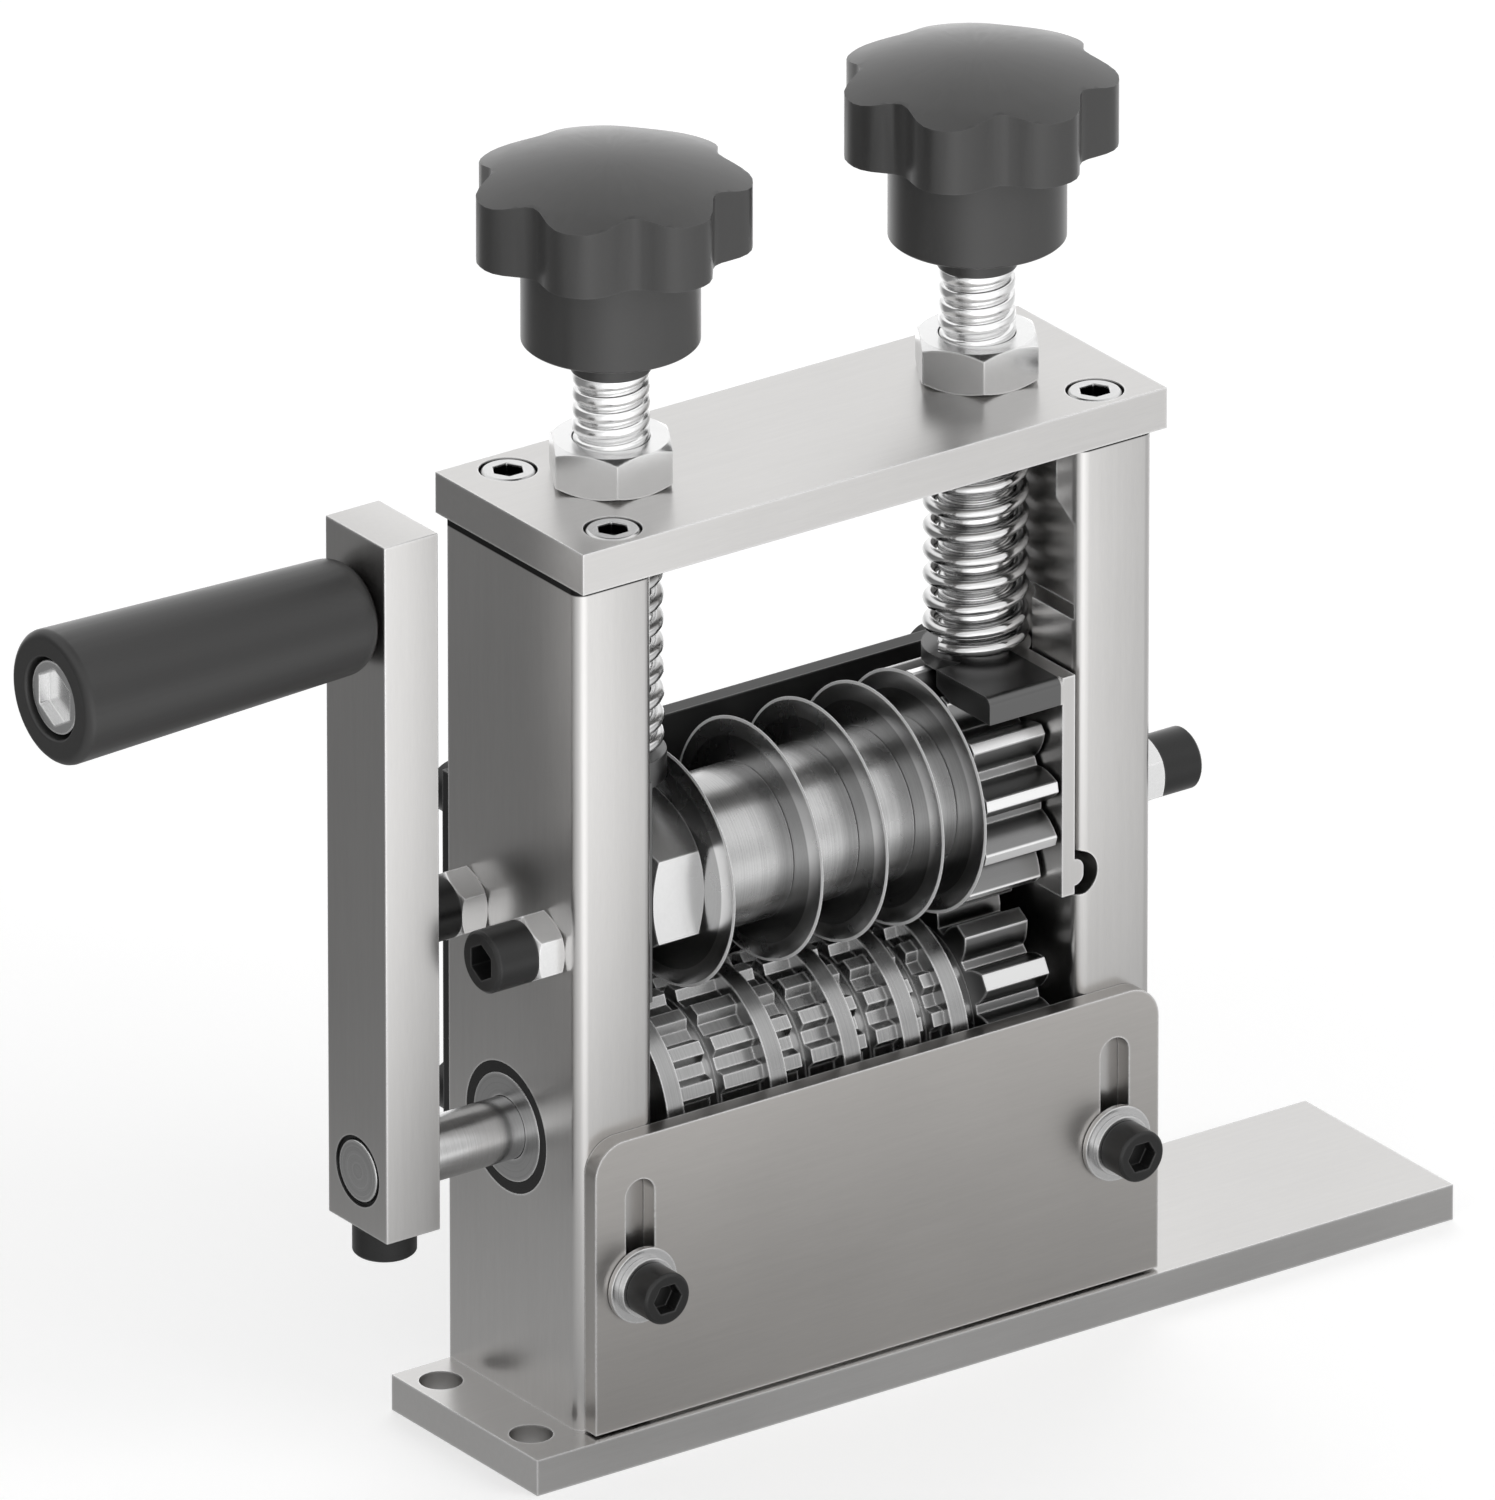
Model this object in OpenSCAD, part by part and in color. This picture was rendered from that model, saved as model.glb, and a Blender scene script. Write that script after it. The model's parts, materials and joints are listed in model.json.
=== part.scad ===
// Hand crank wire stripper: a stack of disc blades over a toothed feed roller in an open frame.
// X runs along the shafts, Y to the back, Z up. The origin lies under the base plate, midway
// between the side plates and straight below the drive shaft.

/* [Frame] */
// Clear width between the side plates
inner_width = 80; // [80:1:100]
// Thickness of each side plate
side_thickness = 14.4; // [13:0.2:20]
// Depth of the side plates, front to back
side_depth = 34.4; // [34.4:0.2:44]
// Height of the side plates
side_height = 141.5; // [138:0.5:175]
// Radius on the front edges of the side plates
side_edge_r = 2; // [0.5:0.5:4]
// Distance of the shafts behind the middle of the side plates
shaft_setback = 2; // [2:0.2:4]
// Thickness of the base plate
base_thickness = 6; // [6:0.5:12]
// Length of the base plate past the left side plate
base_left = 11; // [10:1:40]
// Length of the base plate past the right side plate
base_right = 55; // [10:1:90]
// Depth of the base plate in front of the side plates
front_ledge = 4.4; // [3.6:0.2:12]
// Thickness of the top plate
top_thickness = 6.8; // [6:0.2:12]
// Overhang of the top plate past the side plates, left and right
top_side_overhang = 0.6; // [0:0.2:3]
// Overhang of the top plate past the side plates, front and back
top_front_overhang = 2.3; // [0:0.1:4]

/* [Base holes] */
// Diameter of the two fixing holes in the base
base_hole_d = 6.8; // [4:0.2:8]
// Distance between the fixing holes
base_hole_spacing = 24; // [16:1:28]
// Distance of the fixing holes from the left end
base_hole_inset = 4.9; // [4.4:0.1:6]
// Distance of the fixing holes in front of the middle of the side plates
base_hole_lead = 1; // [0:0.5:3]

/* [Drive] */
// Height of the drive shaft over the underside of the base
drive_height = 50.6; // [48:0.1:54]
// Diameter of the drive shaft
drive_d = 10; // [8:0.5:12]
// Gear module
gear_module = 2.5; // [2.3:0.05:2.5]
// Teeth of each gear
gear_teeth = 13; // [12:1:13]
// Distance between the shafts over the sum of the gears' pitch radii
mesh_gap = 4.1; // [3.9:0.1:4.3]
// Face width of the gear on the blade spindle
gear_width = 13.5; // [8:0.5:14]
// Diameter of the feed roller over its ribs
rib_d = 35; // [31:0.2:35.4]
// Diameter of the feed roller over the teeth in its lanes
lane_d = 32; // [28:0.2:32]
// Depth of the teeth in the lanes
lane_tooth_depth = 1.5; // [0.8:0.1:1.6]
// Teeth round each lane
lane_teeth = 16; // [12:1:20]
// Width of a rib on the feed roller
rib_width = 3.2; // [2:0.2:3.4]

/* [Blades] */
// Diameter of the disc blades
blade_d = 39; // [36:0.5:39]
// Thickness of a disc blade
blade_thickness = 1; // [0.8:0.1:1.2]
// Width of the ground bevel on a blade
blade_bevel = 3; // [1:0.5:5]
// Diameter of the blade spindle
spindle_d = 16; // [13:0.2:19.2]
// Outer diameter of the spacers between the blades
spacer_d = 25; // [21:0.5:28]
// Spacer between the first and the second blade
spacer_1 = 15.6; // [12:0.1:15.6]
// Spacer between the second and the third blade
spacer_2 = 11.3; // [9:0.1:11.3]
// Spacer between the third and the fourth blade
spacer_3 = 9.6; // [8:0.1:9.6]
// Spacer between the fourth and the fifth blade
spacer_4 = 7; // [6:0.1:7]
// Width across the flats of the spindle nut
spindle_nut_af = 24; // [22:1:27]
// Thickness of the spindle nut
spindle_nut_h = 9.6; // [6:0.2:10]

/* [Adjustment] */
// Distance that the knobs can raise the blades
lift_up = 0.5; // [0.3:0.1:0.5]
// Distance that the knobs can lower the blades
lift_down = 1.5; // [0.5:0.1:1.5]
// Distance between the two adjusting rods
rod_spacing = 69; // [69:0.1:69.6]
// Diameter of the adjusting rods
rod_d = 12; // [10:0.2:12]
// Free length of thread over the lock nut
rod_exposed = 11.4; // [8:0.1:25]
// Width across the flats of the lock nuts
rod_nut_af = 18; // [17:1:20]
// Thickness of the lock nuts
rod_nut_h = 7; // [5:0.5:12]
// Outer diameter of the springs
spring_d = 17.2; // [16.8:0.1:17.4]
// Wire diameter of the springs
spring_wire = 2.2; // [1.8:0.1:2.2]
// Rise of one turn in the open part of the springs
spring_pitch = 4; // [3.6:0.1:6]

/* [Knobs] */
// Diameter of a knob over its lobes
knob_d = 43.4; // [36:0.2:50]
// Number of lobes
knob_lobes = 7; // [5:1:9]
// Height of the lobed rim
knob_rim_h = 10.5; // [8:0.5:15]
// Height of the crown over the rim
knob_crown = 4.5; // [2:0.5:7]
// Diameter of the knob's hub
knob_hub_d = 27.6; // [22:0.2:30]
// Height of the knob's hub
knob_hub_h = 15.6; // [10:0.2:20]

/* [Crank] */
// Distance between the shaft and the handgrip
crank_throw = 93.7; // [70:0.1:140]
// Width of the crank arm across the shaft
arm_width = 15.6; // [14:0.2:20]
// Thickness of the crank arm along the shaft
arm_thickness = 10; // [8:0.5:14]
// Gap between the left side plate and the crank arm
arm_gap = 17.9; // [15:0.1:40]
// Length of the handgrip
grip_length = 56.3; // [50:0.1:90]
// Largest diameter of the handgrip
grip_d = 21.4; // [18:0.2:26]

/* [Front cover] */
// Thickness of the front cover
cover_thickness = 3; // [2.6:0.2:3.4]
// Height of the front cover
cover_height = 48.4; // [44:0.2:50]
// Gap between the cover's ends and the outer faces of the side plates
cover_inset = 1; // [0.5:0.1:3]
// Radius of the cover's top corners
cover_corner_r = 5.5; // [2:0.5:7]
// Distance that the cover can be raised under its screws
cover_travel = 2; // [1:0.5:2.5]

/* [Guide plate] */
// Height of the guide plate's top over the blade spindle
guide_rise = 14; // [10:0.1:20]
// Thickness of the guide plate
guide_thickness = 3; // [2:0.5:4]
// Diameter of the wire inlet behind the first blade
inlet_1 = 13; // [8:0.2:14]
// Diameter of the wire inlet behind the second blade
inlet_2 = 9.6; // [6:0.2:11]
// Diameter of the wire inlet behind the third blade
inlet_3 = 8; // [5:0.2:9]
// Diameter of the wire inlet behind the fourth blade
inlet_4 = 6.6; // [4:0.2:7]
// Diameter of the wire inlet behind the fifth blade
inlet_5 = 5.6; // [3:0.2:6]

/* [Hidden] */

// Overrun of every cut past the face that it leaves
over = 1;
// Radial clearance of a running fit, and of a seat within one body
fit = 0.05;
// Clearance between pieces that move past each other
gap = 0.3;
// Facets of a full circle and of a small one
$fn = 72;
small_fn = 36;

// Screw sizes: shank radius, head radius and head height
m6_r = 3;
cap6_r = 5;
low_cap_h = 4.2;
m5_r = 2.5;
cap5_r = 4.25;
cap5_h = 5;
m4_r = 2;
thread_depth = 10;

// Frame
side_inner = inner_width / 2;
side_outer = side_inner + side_thickness;
side_front = -side_depth / 2 - shaft_setback;
side_back = side_depth / 2 - shaft_setback;
base_x0 = -side_outer - base_left;
base_x1 = side_outer + base_right;
base_front = side_front - front_ledge;
base_hole_x = base_x0 + base_hole_inset;
base_hole_y = -shaft_setback - base_hole_lead;
side_top = base_thickness + side_height;
top_z = side_top + top_thickness;
top_screw_inset_x = 9;
top_screw_inset_y = 3.4;
top_screw_x = side_outer - top_screw_inset_x;
top_screw_y = side_depth / 2 - top_screw_inset_y;
base_screw_inset = 7.2;
base_screw_x = side_outer - side_thickness / 2;
base_screw_y = side_depth / 2 - base_screw_inset;

// Gears: two with thick teeth, shifted to the distance of the shafts at the lowest setting
blade_r = blade_d / 2;
pressure_angle = 25;
drive_tip_gap = 0.45;
spindle_tip_step = 0.1;
dedendum_share = 0.65;
backlash = 0.12;
flank_steps = 4;
gear_turn = 9.3;
pitch_r = gear_module * gear_teeth / 2;
base_r = pitch_r * cos(pressure_angle);
drive_tip_r = -side_front - drive_tip_gap;
spindle_tip_r = blade_r - spindle_tip_step;
gear_root_r = pitch_r - dedendum_share * gear_module;
spindle_z = drive_height + 2 * pitch_r + mesh_gap;
function involute(a) = tan(a) - a * PI / 180;
working_angle = acos(2 * base_r / (spindle_z - lift_down - drive_height));
profile_shift = gear_teeth * (involute(working_angle) - involute(pressure_angle))
    / (2 * tan(pressure_angle));

// Slider brackets: the right one has a hood over the gear and a foot in a notch of its side plate
leg_gap = 0.6;
leg_thickness = 2.4;
leg_outer = side_inner - leg_gap;
leg_inner = leg_outer - leg_thickness;
leg_reach = 14.9;
leg_z = spindle_z - leg_reach;
leg_back = side_back - gap;
left_leg_inset = 4.8;
clip_recess = 3.3;
ledge_clearance = 0.35;
ledge_wall = 1.1;
ledge_thickness = clip_recess + ledge_wall;
ledge_rise = 2.65;
ledge_top = spindle_z + spindle_tip_r + ledge_rise;
ledge_z = ledge_top - ledge_thickness;
boss_r = 6;
boss_length = 6.4;
journal_r = 4.5;
foot_r = 1.7;
notch_r = 3.8;
notch_rise = 3.1;
notch_z = leg_z + notch_rise;
foot_z0 = notch_z - notch_r + lift_down + 2 * gap;
foot_z1 = notch_z + notch_r - lift_up - 2 * gap;
pad_margin = 0.1;
pad_r = spring_d / 2 - pad_margin;
hood_depth = 14;
hood_edge_r = 1.4;

// Blade stack, laid out from the gear to the left
spindle_r = spindle_d / 2;
blade_bore_r = spindle_r + fit;
blade_edge = 0.12;
spacer_widths = [spacer_1, spacer_2, spacer_3, spacer_4];
blade_count = len(spacer_widths) + 1;
gear_x1 = leg_inner - 2 * gap;
gear_x0 = gear_x1 - gear_width;

// Rods and knobs
rod_x = rod_spacing / 2;
rod_r = rod_d / 2;
neck_r = 4;
groove_r = 3.4;
clip_r = 5.4;
clip_thickness = 0.9;
clip_slot = 4;
clip_z = ledge_z + clip_recess - clip_thickness - fit;
knob_z = top_z + rod_nut_h + rod_exposed;
knob_neck_wall = 0.2;
knob_neck_r = rod_r + knob_neck_wall;
knob_neck_h = 4.8;
hub_z = knob_z + knob_neck_h;
rim_z = hub_z + knob_hub_h;
knob_edge = 0.3;
knob_angle = 14;
valley_share = 0.17;
valley_power = 1.5;
lobe_points = 12;
crown_steps = 5;

// Springs, and the recesses in the side plates that they stand in
spring_mean_r = (spring_d - spring_wire) / 2;
spring_z0 = ledge_top + gap;
spring_z1 = side_top - fit;
spring_start = 190;
closed_turns = 1;
closed_gap = 0.5;
closed_pitch = spring_wire + closed_gap;
open_rise = spring_z1 - spring_z0 - spring_wire - 2 * closed_turns * closed_pitch;
open_turns = round(2 * open_rise / spring_pitch) / 2;
spring_turns = open_turns + 2 * closed_turns;
turn_rings = 8;
wire_sides = 6;
relief_clearance = 0.4;
relief_r = spring_d / 2 + relief_clearance;
relief_depth = rod_x + relief_r - side_inner;
relief_rise = 8.6;
relief_floor = ledge_top + relief_rise;
relief_inset = 1.4;
relief_front = side_front + relief_inset;
land_inset = 6;
land_front = side_front + land_inset;
land_back = side_back - land_inset;
land_rise = 19;
land_z = relief_floor + land_rise;
land_slope = 3;

// Gib screws
gib_spacing = 20.4;
gib_lead = 0.5;
gib_ys = [-gib_lead - gib_spacing / 2, -gib_lead + gib_spacing / 2];
gib_drop = 1.8;
gib_z = spindle_z - gib_drop;
gib_nut_af = 10;
gib_nut_h = 4.8;
gib_head_h = 7.4;

// Front cover
cover_back = side_front - fit;
cover_front = cover_back - cover_thickness;
cover_z = base_thickness + gap + fit;
cover_half = side_outer - cover_inset;
cover_screw_inset = 9.4;
cover_screw_x = side_outer - cover_screw_inset;
cover_screw_rise = 24;
cover_screw_z = base_thickness + cover_screw_rise;
slot_clearance = 0.2;
slot_r = m5_r + slot_clearance;
slot_margin = 7.2;
slot_top = cover_z + cover_height - slot_margin;
washer_r = 6.2;
washer_h = 1;
lock_washer_r = 4.9;
lock_washer_h = 1.2;
lock_washer_slit = 0.8;
washer_gap = 2 * fit;

// Crank
arm_x1 = -side_outer - arm_gap;
arm_x0 = arm_x1 - arm_thickness;
arm_below = 9.6;
arm_above = 13.2;
arm_z0 = drive_height - arm_below;
crank_head_h = 5.1;
grip_z = drive_height + crank_throw;
grip_x1 = arm_x0 - gap;
grip_x0 = grip_x1 - grip_length;
grip_r = grip_d / 2;
grip_small_share = 0.86;
grip_root_r = 4;
grip_edge_r = 1;
recess_r = 6.5;
recess_depth = 3.6;
grip_bolt_r = 4;
grip_head_r = 5.85;
grip_head_h = 2.4;
grip_socket_af = 8;
socket_depth_share = 0.8;

// Drive shaft and what it carries
drive_r = drive_d / 2;
bush_r = 8.75;
seal_width = 1.85;
seal_r = bush_r + seal_width;
seal_depth = 1.4;
shaft_ring_width = 0.6;
shaft_ring_r = drive_r + shaft_ring_width;
shaft_ring_depth = 0.5;
drive_gear_lead = 1.6;
drive_gear_x0 = gear_x0 + drive_gear_lead;
roller_lead = 0.8;
roller_x0 = -leg_inner + roller_lead;
hub_step = 0.75;
hub_r = bush_r - hub_step;
rib_r = rib_d / 2;
lane_r = lane_d / 2;
lane_root_r = lane_r - lane_tooth_depth;
rib_share = 0.6;
groove_width = 2;
groove_step = 0.8;
groove_clearance = 0.9;
core_r = min(
    spindle_z - lift_down - drive_height - blade_r - groove_clearance, lane_root_r - groove_step
);
lane_tip_share = 0.35;
lane_drop_share = 0.5;
lane_root_share = 0.85;
collar_r = bush_r;
collar_h = 6;
collar_socket_af = 2;

// Guide plate
guide_clearance = 0.5;
guide_y0 = max(blade_r, spindle_tip_r) + guide_clearance;
guide_y1 = guide_y0 + guide_thickness;
guide_inset = 4.4;
guide_half = side_outer - guide_inset;
guide_start = 34;
guide_z0 = base_thickness + guide_start;
guide_z1 = spindle_z + guide_rise;
guide_screw_inset = 5.5;
guide_screw_x = (side_inner + guide_half) / 2;
guide_zs = [guide_z0 + guide_screw_inset, guide_z1 - guide_screw_inset];
guide_thread_depth = 6;
guide_spacer_r = 4.4;
inlet_ds = [inlet_1, inlet_2, inlet_3, inlet_4, inlet_5];
wire_z = drive_height + lane_r;

// Left face of a blade, and the middle of its width
function stack_after(i) = i >= len(spacer_widths) ? 0
    : spacer_widths[i] + blade_thickness + stack_after(i + 1);
function blade_x(i) = gear_x0 - blade_thickness - stack_after(i);
function blade_middle(i) = blade_x(i) + blade_thickness / 2;

function direction(angle) = [cos(angle), sin(angle)];

// A cylinder along X between two places
module x_rod(x0, x1, r) {
    translate([x0, 0, 0])
        rotate([0, 90, 0])
            cylinder(h = x1 - x0, r = r);
}

// A flat outline in Y and Z, raised along X between two places
module x_extrude(x0, x1) {
    translate([x0, 0, 0])
        rotate([90, 0, 90])
            linear_extrude(x1 - x0)
                children();
}

// A hexagonal prism with flats across Y
module hex_prism(af, h) {
    cylinder(h = h, r = af / sqrt(3), $fn = 6);
}

// A hexagonal nut with both faces chamfered
module hex_nut(af, h, bore_r) {
    corner_r = af / sqrt(3);
    chamfer_h = (corner_r - af / 2) * tan(30);
    difference() {
        intersection() {
            hex_prism(af, h);
            rotate_extrude()
                polygon([
                    [0, 0], [af / 2, 0], [corner_r, chamfer_h],
                    [corner_r, h - chamfer_h], [af / 2, h], [0, h]
                ]);
        }
        translate([0, 0, -over])
            cylinder(h = h + 2 * over, r = bore_r);
    }
}

// A socket head screw with its shank below zero and its head above
module socket_screw(shank_r, shank_l, head_r, head_h) {
    socket_share = 1.05;
    bevel_share = 0.09;
    bevel = bevel_share * head_r;
    difference() {
        rotate_extrude($fn = small_fn)
            polygon([
                [0, -shank_l], [shank_r, -shank_l], [shank_r, 0], [head_r, 0],
                [head_r, head_h - bevel], [head_r - bevel, head_h], [0, head_h]
            ]);
        translate([0, 0, head_h / 2])
            hex_prism(socket_share * head_r, head_h);
    }
}

// A ring with its lower face at zero
module ring(r, bore_r, h) {
    difference() {
        cylinder(h = h, r = r, $fn = small_fn);
        translate([0, 0, -over])
            cylinder(h = h + 2 * over, r = bore_r, $fn = small_fn);
    }
}

// Puts children at four places about the middle of the side plates
module at_corners(x, y, z) {
    for (sx = [-1, 1], sy = [-1, 1])
        translate([sx * x, sy * y - shaft_setback, z])
            children();
}

// Puts children on the right and, mirrored, on the left
module on_both_sides() {
    for (side = [0, 1])
        mirror([side, 0, 0])
            children();
}

module base_plate() {
    color("gainsboro")
        difference() {
            translate([base_x0, base_front, 0])
                cube([base_x1 - base_x0, side_back - base_front, base_thickness]);
            for (y = [-1, 1])
                translate([base_hole_x, base_hole_y + y * base_hole_spacing / 2, -over])
                    cylinder(h = base_thickness + 2 * over, r = base_hole_d / 2);
            at_corners(base_screw_x, base_screw_y, -over) {
                cylinder(h = base_thickness + 2 * over, r = m6_r + fit, $fn = small_fn);
                cylinder(h = low_cap_h + gap + over, r = cap6_r + gap, $fn = small_fn);
            }
        }
}

// The right side plate, which is mirrored for the left one
module side_plate() {
    difference() {
        translate([0, 0, base_thickness])
            linear_extrude(side_height)
                side_outline();
        translate([0, 0, drive_height]) {
            x_rod(side_inner - over, side_outer + over, bush_r);
            x_rod(side_outer - seal_depth, side_outer + over, seal_r);
        }
        bearing_slot();
        spring_relief();
        side_plate_holes();
    }
}

module side_outline() {
    translate([side_inner, side_front + side_edge_r])
        square([side_thickness, side_depth - side_edge_r]);
    translate([side_inner + side_edge_r, side_front])
        square([side_thickness - 2 * side_edge_r, 2 * side_edge_r]);
    for (x = [side_inner + side_edge_r, side_outer - side_edge_r])
        translate([x, side_front + side_edge_r])
            circle(side_edge_r, $fn = small_fn);
}

// The blind slot that a bracket's bearing boss slides in
module bearing_slot() {
    x0 = side_inner - over;
    x1 = leg_outer + boss_length + gap;
    half = boss_r + fit;
    low_z = spindle_z - lift_down - gap;
    high_z = spindle_z + lift_up + gap;
    for (z = [low_z, high_z])
        translate([0, 0, z])
            x_rod(x0, x1, half);
    translate([x0, -half, low_z])
        cube([x1 - x0, 2 * half, high_z - low_z]);
}

// The recess that a spring stands in, over a round groove for the bracket's pad
module spring_relief() {
    groove_z = ledge_z - lift_down - gap;
    translate([rod_x, 0, groove_z])
        cylinder(h = side_top - groove_z + over, r = relief_r);
    x_extrude(side_inner - over, side_inner + relief_depth)
        polygon([
            [relief_front, relief_floor], [land_back, relief_floor], [land_back, side_top + over],
            [land_front, side_top + over], [land_front, land_z], [relief_front, land_z - land_slope]
        ]);
}

module side_plate_holes() {
    for (y = gib_ys)
        translate([0, y, gib_z])
            x_rod(side_inner - over, side_outer + over, m6_r + fit);
    for (y = [-1, 1]) {
        translate([top_screw_x, y * top_screw_y - shaft_setback, side_top - thread_depth])
            cylinder(h = thread_depth + over, r = m5_r + fit, $fn = small_fn);
        translate([base_screw_x, y * base_screw_y - shaft_setback, base_thickness - over])
            cylinder(h = thread_depth + over, r = m6_r + fit, $fn = small_fn);
    }
    translate([cover_screw_x, side_front - over, cover_screw_z])
        rotate([-90, 0, 0])
            cylinder(h = thread_depth + over, r = m5_r + fit, $fn = small_fn);
    for (z = guide_zs)
        translate([guide_screw_x, side_back + over, z])
            rotate([90, 0, 0])
                cylinder(h = guide_thread_depth + over, r = m5_r + fit, $fn = small_fn);
}

module left_side_plate() {
    color("silver")
        mirror([1, 0, 0])
            side_plate();
}

module right_side_plate() {
    color("silver")
        difference() {
            side_plate();
            translate([side_inner, side_back + over, notch_z])
                rotate([90, 0, 0])
                    cylinder(h = side_depth + 2 * over, r = notch_r, $fn = small_fn);
        }
}

module top_plate() {
    half_x = side_outer + top_side_overhang;
    half_y = side_depth / 2 + top_front_overhang;
    color("gainsboro")
        difference() {
            translate([-half_x, -half_y - shaft_setback, side_top])
                cube([2 * half_x, 2 * half_y, top_thickness]);
            for (side = [-1, 1])
                translate([side * rod_x, 0, side_top - over])
                    cylinder(h = top_thickness + 2 * over, r = rod_r + fit);
            at_corners(top_screw_x, top_screw_y, side_top - over)
                cylinder(h = top_thickness + 2 * over, r = m5_r + fit, $fn = small_fn);
            at_corners(top_screw_x, top_screw_y, top_z - low_cap_h)
                cylinder(h = low_cap_h + over, r = cap5_r + gap, $fn = small_fn);
        }
}

module top_screws() {
    shank_l = top_thickness - low_cap_h + thread_depth - gap;
    color("dimgray")
        at_corners(top_screw_x, top_screw_y, top_z - low_cap_h)
            socket_screw(m5_r, shank_l, cap5_r, low_cap_h);
}

module base_screws() {
    head_z = low_cap_h + gap;
    shank_l = base_thickness - head_z + thread_depth - gap;
    color("dimgray")
        at_corners(base_screw_x, base_screw_y, head_z)
            mirror([0, 0, 1])
                socket_screw(m6_r, shank_l, cap6_r, low_cap_h);
}

// The lock nuts of the adjusting rods
module rod_nuts() {
    color("lightgray")
        for (side = [-1, 1])
            translate([side * rod_x, 0, top_z])
                hex_nut(rod_nut_af, rod_nut_h, rod_r + fit);
}

// Puts children at the four gib screws, with Z pointing outwards from the side plates
module at_gibs(x) {
    on_both_sides()
        for (y = gib_ys)
            translate([x, y, gib_z])
                rotate([0, 90, 0])
                    children();
}

// Screws through the side plates that take up the play of the slider brackets
module gib_screws() {
    shank_l = side_outer + gib_nut_h - leg_outer - gap;
    color("darkslategray")
        at_gibs(side_outer + gib_nut_h)
            socket_screw(m6_r, shank_l, cap6_r, gib_head_h);
}

module gib_nuts() {
    color("lightgray")
        at_gibs(side_outer)
            hex_nut(gib_nut_af, gib_nut_h, m6_r + fit);
}

// The plate behind the blades that the wires are fed through
module guide_plate() {
    color("dimgray")
        difference() {
            translate([-guide_half, guide_y0, guide_z0])
                cube([2 * guide_half, guide_thickness, guide_z1 - guide_z0]);
            for (i = [0:blade_count - 1])
                translate([blade_middle(i), guide_y0 - over, wire_z + inlet_ds[i] / 2])
                    rotate([-90, 0, 0])
                        cylinder(h = guide_thickness + 2 * over, r = inlet_ds[i] / 2);
            at_guide_screws(guide_y0 - over)
                cylinder(h = guide_thickness + 2 * over, r = m5_r + fit, $fn = small_fn);
        }
}

// Puts children at the guide plate's screws, with Z pointing to the back
module at_guide_screws(y) {
    for (x = [-guide_screw_x, guide_screw_x], z = guide_zs)
        translate([x, y, z])
            rotate([-90, 0, 0])
                children();
}

module guide_spacers() {
    color("lightgray")
        at_guide_screws(side_back)
            ring(guide_spacer_r, m5_r + fit, guide_y0 - side_back);
}

module guide_screws() {
    color("darkslategray")
        at_guide_screws(guide_y1)
            socket_screw(m5_r, guide_y1 - side_back + guide_thread_depth - gap, cap5_r, cap5_h);
}

module shaft_bushes() {
    color("darkgray")
        on_both_sides()
            translate([0, 0, drive_height])
                difference() {
                    x_rod(side_inner, side_outer, bush_r);
                    x_rod(side_inner - over, side_outer + over, drive_r + fit);
                }
}

module seal_rings() {
    color("black")
        on_both_sides()
            translate([0, 0, drive_height])
                difference() {
                    x_rod(side_outer - seal_depth, side_outer - fit, seal_r);
                    x_rod(side_outer - seal_depth - over, side_outer + over, bush_r);
                }
}

module cover_outline() {
    r = cover_corner_r;
    translate([-cover_half, cover_z])
        square([2 * cover_half, cover_height - r]);
    translate([-cover_half + r, cover_z])
        square([2 * (cover_half - r), cover_height]);
    for (side = [-1, 1])
        translate([side * (cover_half - r), cover_z + cover_height - r])
            circle(r, $fn = small_fn);
}

// A slot that runs from under the cover screw's washer to near the cover's top
module slot_outline() {
    low_z = cover_screw_z - cover_travel;
    high_z = slot_top - slot_r;
    translate([cover_screw_x - slot_r, low_z])
        square([2 * slot_r, high_z - low_z]);
    for (z = [low_z, high_z])
        translate([cover_screw_x, z])
            circle(slot_r, $fn = small_fn);
}

module front_cover() {
    color("silver")
        translate([0, cover_back, 0])
            rotate([90, 0, 0])
                linear_extrude(cover_thickness)
                    difference() {
                        cover_outline();
                        on_both_sides()
                            slot_outline();
                    }
}

module cover_screws() {
    head_y = cover_front - washer_gap - washer_h - lock_washer_h;
    color("black")
        at_cover_screws(head_y)
            socket_screw(m5_r, side_front + thread_depth - gap - head_y, cap5_r, cap5_h);
}

// Puts children at the cover screws, with Z pointing to the front
module at_cover_screws(y) {
    for (side = [-1, 1])
        translate([side * cover_screw_x, y, cover_screw_z])
            rotate([90, 0, 0])
                children();
}

module cover_washers() {
    color("lightgray")
        at_cover_screws(cover_front - washer_gap)
            ring(washer_r, m5_r + fit, washer_h);
}

// Spring washers with a slit
module lock_washers() {
    color("lightgray")
        at_cover_screws(cover_front - washer_gap - washer_h)
            difference() {
                ring(lock_washer_r, m5_r + fit, lock_washer_h);
                translate([0, -lock_washer_slit / 2, -over])
                    cube([lock_washer_r + over, lock_washer_slit, lock_washer_h + 2 * over]);
            }
}

// Height of the wire's middle over its start, after a number of turns
function spring_rise(turn) = turn < closed_turns ? turn * closed_pitch
    : turn < closed_turns + open_turns
        ? closed_turns * closed_pitch + (turn - closed_turns) * open_rise / open_turns
    : open_rise + (turn - open_turns) * closed_pitch;

function spring_point(turn) = [
    spring_mean_r * cos(360 * turn), spring_mean_r * sin(360 * turn),
    spring_z0 + spring_wire / 2 + spring_rise(turn)
];

function ring_at(centre, turn) = [
    for (k = [0:wire_sides - 1])
        let (a = 360 * k / wire_sides + 90, out = spring_wire / 2 * cos(a))
            centre + [out * cos(360 * turn), out * sin(360 * turn), spring_wire / 2 * sin(a)]
];

function tangent_at(turn) = [-sin(360 * turn), cos(360 * turn), 0];

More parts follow.
